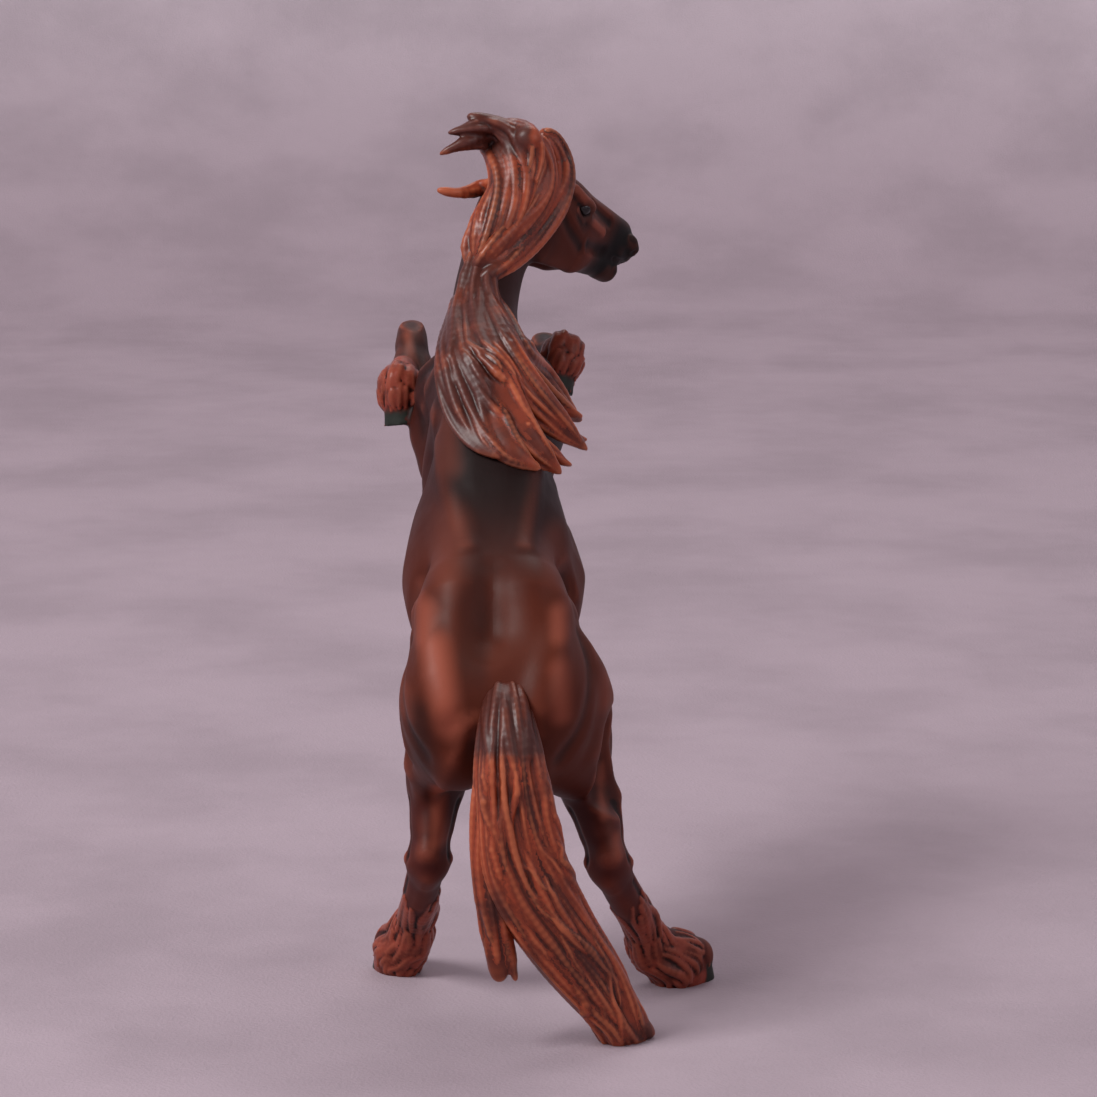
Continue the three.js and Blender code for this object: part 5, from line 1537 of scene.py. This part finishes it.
def coat_marks(points):
    """Where the coat turns redder, lighter with painted highlight, darker (with a painted shadow under the
    mane among it), black or into horn.
    """
    up, forward, left = points[:, 2], -points[:, 1], points[:, 0]
    head = points - POLL
    along = head @ HEAD_FORWARD / HEAD_LENGTH
    down = -head @ HEAD_UP / HEAD_LENGTH
    on_the_head = smoothstep(up, 62, 66) * smoothstep(forward, 18, 21)
    # A painted shadow of the mane over the upper back, full on its right and fading out towards its left
    shadow = 0.95 * smoothstep(up, 40.5, 51) * smoothstep(up, 66, 60) * smoothstep(left, 7.6, 2.4)
    # Darker coat on the outer edge of the left thigh, in a band beside the spine and on the neck
    thigh_edge = 0.65 * near_stroke(points, [(6.9, 31.5), (6.5, 26)], 2.4)
    back = 0.45 * smoothstep(up, 31, 37) * smoothstep(up, 56, 44) * smoothstep(np.abs(left - 1.9), 2.1, 0.7)
    neck = 0.5 * smoothstep(up, 53, 60) * (1 - on_the_head) * (up < 78)
    from_eye = np.hypot((along - 0.41) * HEAD_LENGTH, (down - 0.17) * HEAD_LENGTH)
    # Painted highlight: the airbrushed lighter coat on the crests of the muscles
    light = np.zeros(len(points))
    for line, radius, strength in AIRBRUSHED_HIGHLIGHTS:
        light = np.maximum(light, strength * near_stroke(points, line, radius))
    return {
        "haunch": 0.75 * smoothstep(up, 49, 40) * smoothstep(up, 18, 26) + 0.6 * on_the_head,
        "leg": smoothstep(up, 24, 15) * (up < 40) + smoothstep(forward, 30, 34) * (up < 64),
        "dark": np.maximum.reduce([shadow, back, thigh_edge, neck]),
        "light": light * np.where(forward > 26, 1, smoothstep(forward, 16, 6)),
        "muzzle": on_the_head * np.maximum(
            smoothstep(along + 0.4 * (down - 0.22), 0.62, 0.8), 0.75 * smoothstep(from_eye, 2, 0.8)),
        "feather": np.zeros(len(points)),
        "hoof": smoothstep(up, 2.2, 1.6),
    }


# The copper streak down the tail: heights, and how far left it lies at each
STREAK_HEIGHTS = (0, 5, 10.6, 15, 20, 26)
STREAK_LEFT = (-11, -8.8, -5.4, -3, -1.2, -0.9)


def hair_warmth(points):
    """How far the hair is copper instead of dark brown: streaks in the tail, the mane's right side, and
    painted shade on the hair over the neck.
    """
    left, up = points[:, 0], points[:, 2]
    streak = np.interp(up, STREAK_HEIGHTS, STREAK_LEFT)
    tail = (0.55 + 0.45 * smoothstep(np.abs(left - streak), 2.8, 0.5)) * smoothstep(up, 31, 26)
    withers = 0.1 + 0.75 * smoothstep(left, 1.5, -3.5)
    upper = 0.85 - 0.75 * smoothstep(up, 78.6, 80.8) * smoothstep(left, -4, -3)
    # Painted shade: the hair that bridges from the mane onto the neck takes the darker warmth of the withers
    on_the_neck = smoothstep(up, 71.5, 67)
    return np.where(up < 36, tail, withers * on_the_neck + upper * (1 - on_the_neck))


# Operators

class PieceOperator:
    """What every piece's operator shares."""
    bl_options = {"REGISTER", "UNDO"}

    @property
    def sculpt(self):
        return bpy.context.scene.horse_sculpt


class HORSE_OT_body(PieceOperator, bpy.types.Operator):
    """Sculpts the two halves of the body, with the thighs"""
    bl_idname = "horse.body"
    bl_label = "Body halves"

    def execute(self, context):
        clay = horse_clay().cast(at(-16, 34, 20), at(16, -28, 68), self.sculpt.body_cell / MM)
        middle = at(0, 0, LEG_JOINT_HEIGHT)
        for name, node, inward in (("body_left_half", "body_left_shell", -1),
                                   ("body_right_half", "body_right_shell", 1)):
            cuts = [(middle, (0, 0, -1)), (NECK_JOINT, NECK_RISE), (at(0, 0, 0), (inward, 0, 0))]
            piece = cast_piece(name, clay, cuts, coat_marks)
            dress(piece, "coat", coat_material(), node)
        return {"FINISHED"}


class HORSE_OT_neck(PieceOperator, bpy.types.Operator):
    """Sculpts the neck"""
    bl_idname = "horse.neck"
    bl_label = "Neck"

    def execute(self, context):
        clay = horse_clay().cast(at(-12, 30, 54), at(12, 2, 82), self.sculpt.leg_cell / MM)
        cuts = [(NECK_JOINT, -NECK_RISE), (HEAD_JOINT, HEAD_RISE)]
        dress(cast_piece("neck_coat", clay, cuts, coat_marks), "coat", coat_material(), "neck")
        return {"FINISHED"}


class HORSE_OT_head(PieceOperator, bpy.types.Operator):
    """Sculpts the head and sets its eyes"""
    bl_idname = "horse.head"
    bl_label = "Head"

    def execute(self, context):
        clay = horse_clay().cast(at(-18, 40, 60), at(8, 12, 88), self.sculpt.head_cell / MM)
        piece = cast_piece("head_coat", clay, [(HEAD_JOINT, -HEAD_RISE)], coat_marks)
        dress(piece, "coat", coat_material(), "head")
        work = bmesh.new()
        for side in (-1, 1):
            ball = bmesh.ops.create_uvsphere(work, u_segments=32, v_segments=20, radius=EYE_RADIUS * MM)
            bmesh.ops.translate(work, verts=ball["verts"], vec=in_model(eye_place(clay, side)))
        mesh = bpy.data.meshes.new("eyes")
        work.to_mesh(mesh)
        work.free()
        mesh.shade_smooth()
        dress(put_in_scene("eyes", mesh), "coat", eye_material())
        return {"FINISHED"}


def leg_piece(name, node, clay, bones, grow_feathers, cuts, past=lambda points: 0):
    """A leg with its feathers laid on it, and their marks for the paint. `past` says what is hoof."""
    clay.marks = {label: np.zeros(clay.field.shape, np.float32) for label in HAIR_MARKS}
    bare = clay.field.copy()
    grow_feathers(clay, bones)

    def paint(points):
        marks = coat_marks(points)
        marks.update({label: clay.mark(label, points) for label in HAIR_MARKS})
        marks["feather"] = smoothstep(clay.value(points, bare)[0], 0.02, 0.12)
        marks["hoof"] = np.maximum(marks["hoof"], past(points)) * (1 - marks["feather"])
        return marks

    dress(cast_piece(name, clay, cuts, paint), "legs", coat_material(), node)


class HORSE_OT_hind_legs(PieceOperator, bpy.types.Operator):
    """Sculpts the hind legs from above the hock down, with the feathers over their hooves"""
    bl_idname = "horse.hind_legs"
    bl_label = "Hind legs"

    def execute(self, context):
        cuts = [(at(0, 0, 0), (0, 0, -1)), (at(0, 0, LEG_JOINT_HEIGHT), (0, 0, 1))]
        for bones, name in zip(HIND, ("left_hind", "right_hind")):
            near, far = sorted((bones.side * 0.5, bones.hoof[0] + bones.side * 4))
            clay = horse_clay().cast(at(near, 14, -1), at(far, -22, 25), self.sculpt.leg_cell / MM)
            leg_piece(name, name + "_leg", clay, bones, grow_hind_feathers, cuts)
        return {"FINISHED"}


class HORSE_OT_forelegs(PieceOperator, bpy.types.Operator):
    """Sculpts the folded forelegs, with the feathers at their fetlocks"""
    bl_idname = "horse.forelegs"
    bl_label = "Forelegs"

    def execute(self, context):
        for bones, name in zip(FORE, ("left_foreleg", "right_foreleg")):
            joints = np.array(bones[1:6])
            clay = Clay(joints.min(0) - 5, joints.max(0) + 5, self.sculpt.leg_cell / MM)
            sculpt_foreleg(clay, bones)
            leg_piece(name + "_coat", name, clay, bones, grow_fore_feathers, (),
                      lambda points: smoothstep((points - bones.coronet) @ bones.digit, 0, 0.5))
        return {"FINISHED"}


class HORSE_OT_tail(PieceOperator, bpy.types.Operator):
    """Lays the strands of the tail's main lock and side lock"""
    bl_idname = "horse.tail"
    bl_label = "Tail"

    def execute(self, context):
        hair_piece("tail_main_hair", tail_locks(), "tail_main_lock", ground=True, wisps=tail_tufts)
        hair_piece("tail_side_hair", side_locks(), "tail_side_lock")
        return {"FINISHED"}


class HORSE_OT_mane(PieceOperator, bpy.types.Operator):
    """Lays the strands of the mane's four locks"""
    bl_idname = "horse.mane"
    bl_label = "Mane"

    def execute(self, context):
        coat = horse_clay()
        hair_piece("mane_upper_hair", upper_mane(coat), "mane_upper_sweep", coat)
        hair_piece("mane_cheek_hair", cheek_locks(coat), "mane_cheek_lock", coat)
        hair_piece("mane_flying_hair", flying_locks(coat), "mane_flying_lock", coat)
        hair_piece("mane_withers_hair", withers_locks(coat), "mane_withers_fall", coat, wisps=slanting_wisps)
        return {"FINISHED"}


class HORSE_OT_pins(PieceOperator, bpy.types.Operator):
    """Gives the dowels and wires inside the castings their steel"""
    bl_idname = "horse.pins"
    bl_label = "Dowels and wires"

    def execute(self, context):
        steel = pin_material()
        for name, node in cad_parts.items():
            if name.endswith(("_dowel", "_wire")):
                node.data.materials.clear()
                node.data.materials.append(steel)
        return {"FINISHED"}


# Where the photograph was taken from and what it is aimed at, in millimetres, and the lens on a 36 mm sensor
CAMERA_PLACE = (-0.5692, 446.029, 129.064)
CAMERA_TARGET = (-0.5692, 4.2989, 43.2)
CAMERA_LENS = 153.39


class HORSE_OT_stage(PieceOperator, bpy.types.Operator):
    """Lays the floor and backdrop, and sets the lamps and the camera"""
    bl_idname = "horse.stage"
    bl_label = "Stage"

    def execute(self, context):
        make_floor()
        make_lamps()
        make_camera()
        return {"FINISHED"}


def stage_material(name, low, high, blotch, weave):
    """Cloth of one colour on the floor and another on the wall."""
    material, wiring = new_material(name)
    height = wiring.add("ShaderNodeSeparateXYZ", {"Vector": wiring.place()}).outputs["Z"]
    wall = wiring.scale(height, 0.0, 0.12)
    tint = wiring.mix(wall, rgba(low), rgba(high))
    dark = wiring.mix(wall, rgba([c * 0.8 for c in low]), rgba([c * 0.8 for c in high]))
    base = wiring.group(mottle_group(), {
        "Colour": tint, "Second colour": dark, "Patches per metre": blotch, "Amount": 0.8,
    })["Colour"]
    skin = wiring.group(orange_peel_group(), {
        "Smoothest": 0.8, "Roughest": 0.95, "Grains per metre": weave,
    })
    finish_material(wiring, base, skin["Roughness"], skin["Height"],
                    bump=0.0002, coat=0.0, coat_roughness=0.5, strength=0.5)
    return material


# The cloth under and behind the horse, in metres
FLOOR_RADIUS = 0.44
FLOOR_BEND = 0.18
WALL_HEIGHT = 0.9
FLOOR_SLICES = 96
BEND_STEPS = 12


def make_floor():
    """A round cloth that lies flat under the horse and rises all round it in one curve."""
    paint = bpy.context.scene.horse_paint
    profile = [(FLOOR_RADIUS, 0.0)]
    for i in range(1, BEND_STEPS + 1):
        angle = math.pi / 2 * i / BEND_STEPS
        profile.append((FLOOR_RADIUS + FLOOR_BEND * math.sin(angle), FLOOR_BEND * (1 - math.cos(angle))))
    profile.append((FLOOR_RADIUS + FLOOR_BEND, WALL_HEIGHT))
    slices = range(FLOOR_SLICES)
    turns = [2 * math.pi * k / FLOOR_SLICES for k in slices]
    points = [(0, 0, 0)]
    for reach, height in profile:
        points += [(reach * math.cos(turn), reach * math.sin(turn), height) for turn in turns]
    after = [(k + 1) % FLOOR_SLICES for k in slices]
    faces = [(0, 1 + k, 1 + after[k]) for k in slices]
    for ring in range(len(profile) - 1):
        low = 1 + ring * FLOOR_SLICES
        high = low + FLOOR_SLICES
        faces += [(low + k, high + k, high + after[k], low + after[k]) for k in slices]
    mesh = bpy.data.meshes.new("floor_cloth")
    mesh.from_pydata(points, [], faces)
    mesh.shade_smooth()
    cloth = put_in_scene("floor_cloth", mesh)
    fabric = stage_material("Grey cloth", paint.floor, paint.backdrop, blotch=30.0, weave=2500.0)
    mesh.materials.append(fabric)


def aim(holder, place, target):
    """Stands a lamp or camera at one place and turns it to another."""
    holder.location = place
    holder.rotation_euler = (Vector(target) - Vector(place)).to_track_quat("-Z", "Y").to_euler()


# What the lamps are aimed at, in metres
LAMP_TARGET = (0, 0, 0.045)


def lamp(name, place, size, power):
    light = bpy.data.lights.new(name, "AREA")
    light.size = size
    light.energy = power
    aim(put_in_scene(name, light), place, LAMP_TARGET)


def make_lamps():
    lamp("key_lamp", (0.4, 0.3, 0.55), size=0.26, power=4.6)
    lamp("fill_lamp", (-0.5, 0.3, 0.3), size=0.4, power=0.8)
    lamp("back_lamp", (-0.1, -0.36, 0.62), size=0.4, power=1.6)
    world = bpy.data.worlds.new("Room")
    world.use_nodes = True
    wiring = Wiring(world.node_tree)
    sky = wiring.add("ShaderNodeBackground", {"Color": (0.9, 0.88, 0.92, 1), "Strength": 0.24})
    wiring.add("ShaderNodeOutputWorld", {"Surface": sky.outputs[0]})
    bpy.context.scene.world = world


def make_camera():
    camera = bpy.data.cameras.new("Photograph view")
    camera.sensor_width = 36
    camera.lens = CAMERA_LENS
    camera.clip_start = 0.01
    camera.clip_end = 10
    holder = put_in_scene("Photograph view", camera)
    aim(holder, Vector(CAMERA_PLACE) * MM, Vector(CAMERA_TARGET) * MM)
    bpy.context.scene.camera = holder
    bpy.context.scene.view_settings.view_transform = "Standard"


PIECES = (
    HORSE_OT_body, HORSE_OT_neck, HORSE_OT_head, HORSE_OT_hind_legs, HORSE_OT_forelegs,
    HORSE_OT_tail, HORSE_OT_mane, HORSE_OT_pins, HORSE_OT_stage,
)


class HORSE_PT_panel(bpy.types.Panel):
    """Sizes, paints and pieces of the horse"""
    bl_idname = "HORSE_PT_panel"
    bl_label = "Cast horse"
    bl_space_type = "VIEW_3D"
    bl_region_type = "UI"
    bl_category = "Horse"

    def draw(self, context):
        for group in (context.scene.horse_sculpt, context.scene.horse_paint):
            box = self.layout.box()
            for label in group.bl_rna.properties.keys():
                if label not in ("rna_type", "name"):
                    box.prop(group, label)
        for piece in PIECES:
            self.layout.operator(piece.bl_idname)


CLASSES = (HorseSculpt, HorsePaint, *PIECES, HORSE_PT_panel)


def register():
    for each in CLASSES:
        bpy.utils.register_class(each)
    bpy.types.Scene.horse_sculpt = PointerProperty(type=HorseSculpt)
    bpy.types.Scene.horse_paint = PointerProperty(type=HorsePaint)


def unregister():
    del bpy.types.Scene.horse_paint
    del bpy.types.Scene.horse_sculpt
    for each in reversed(CLASSES):
        bpy.utils.unregister_class(each)


def main():
    register()
    for piece in PIECES:
        group, call = piece.bl_idname.split(".")
        getattr(getattr(bpy.ops, group), call)()


if __name__ == "__main__":
    main()
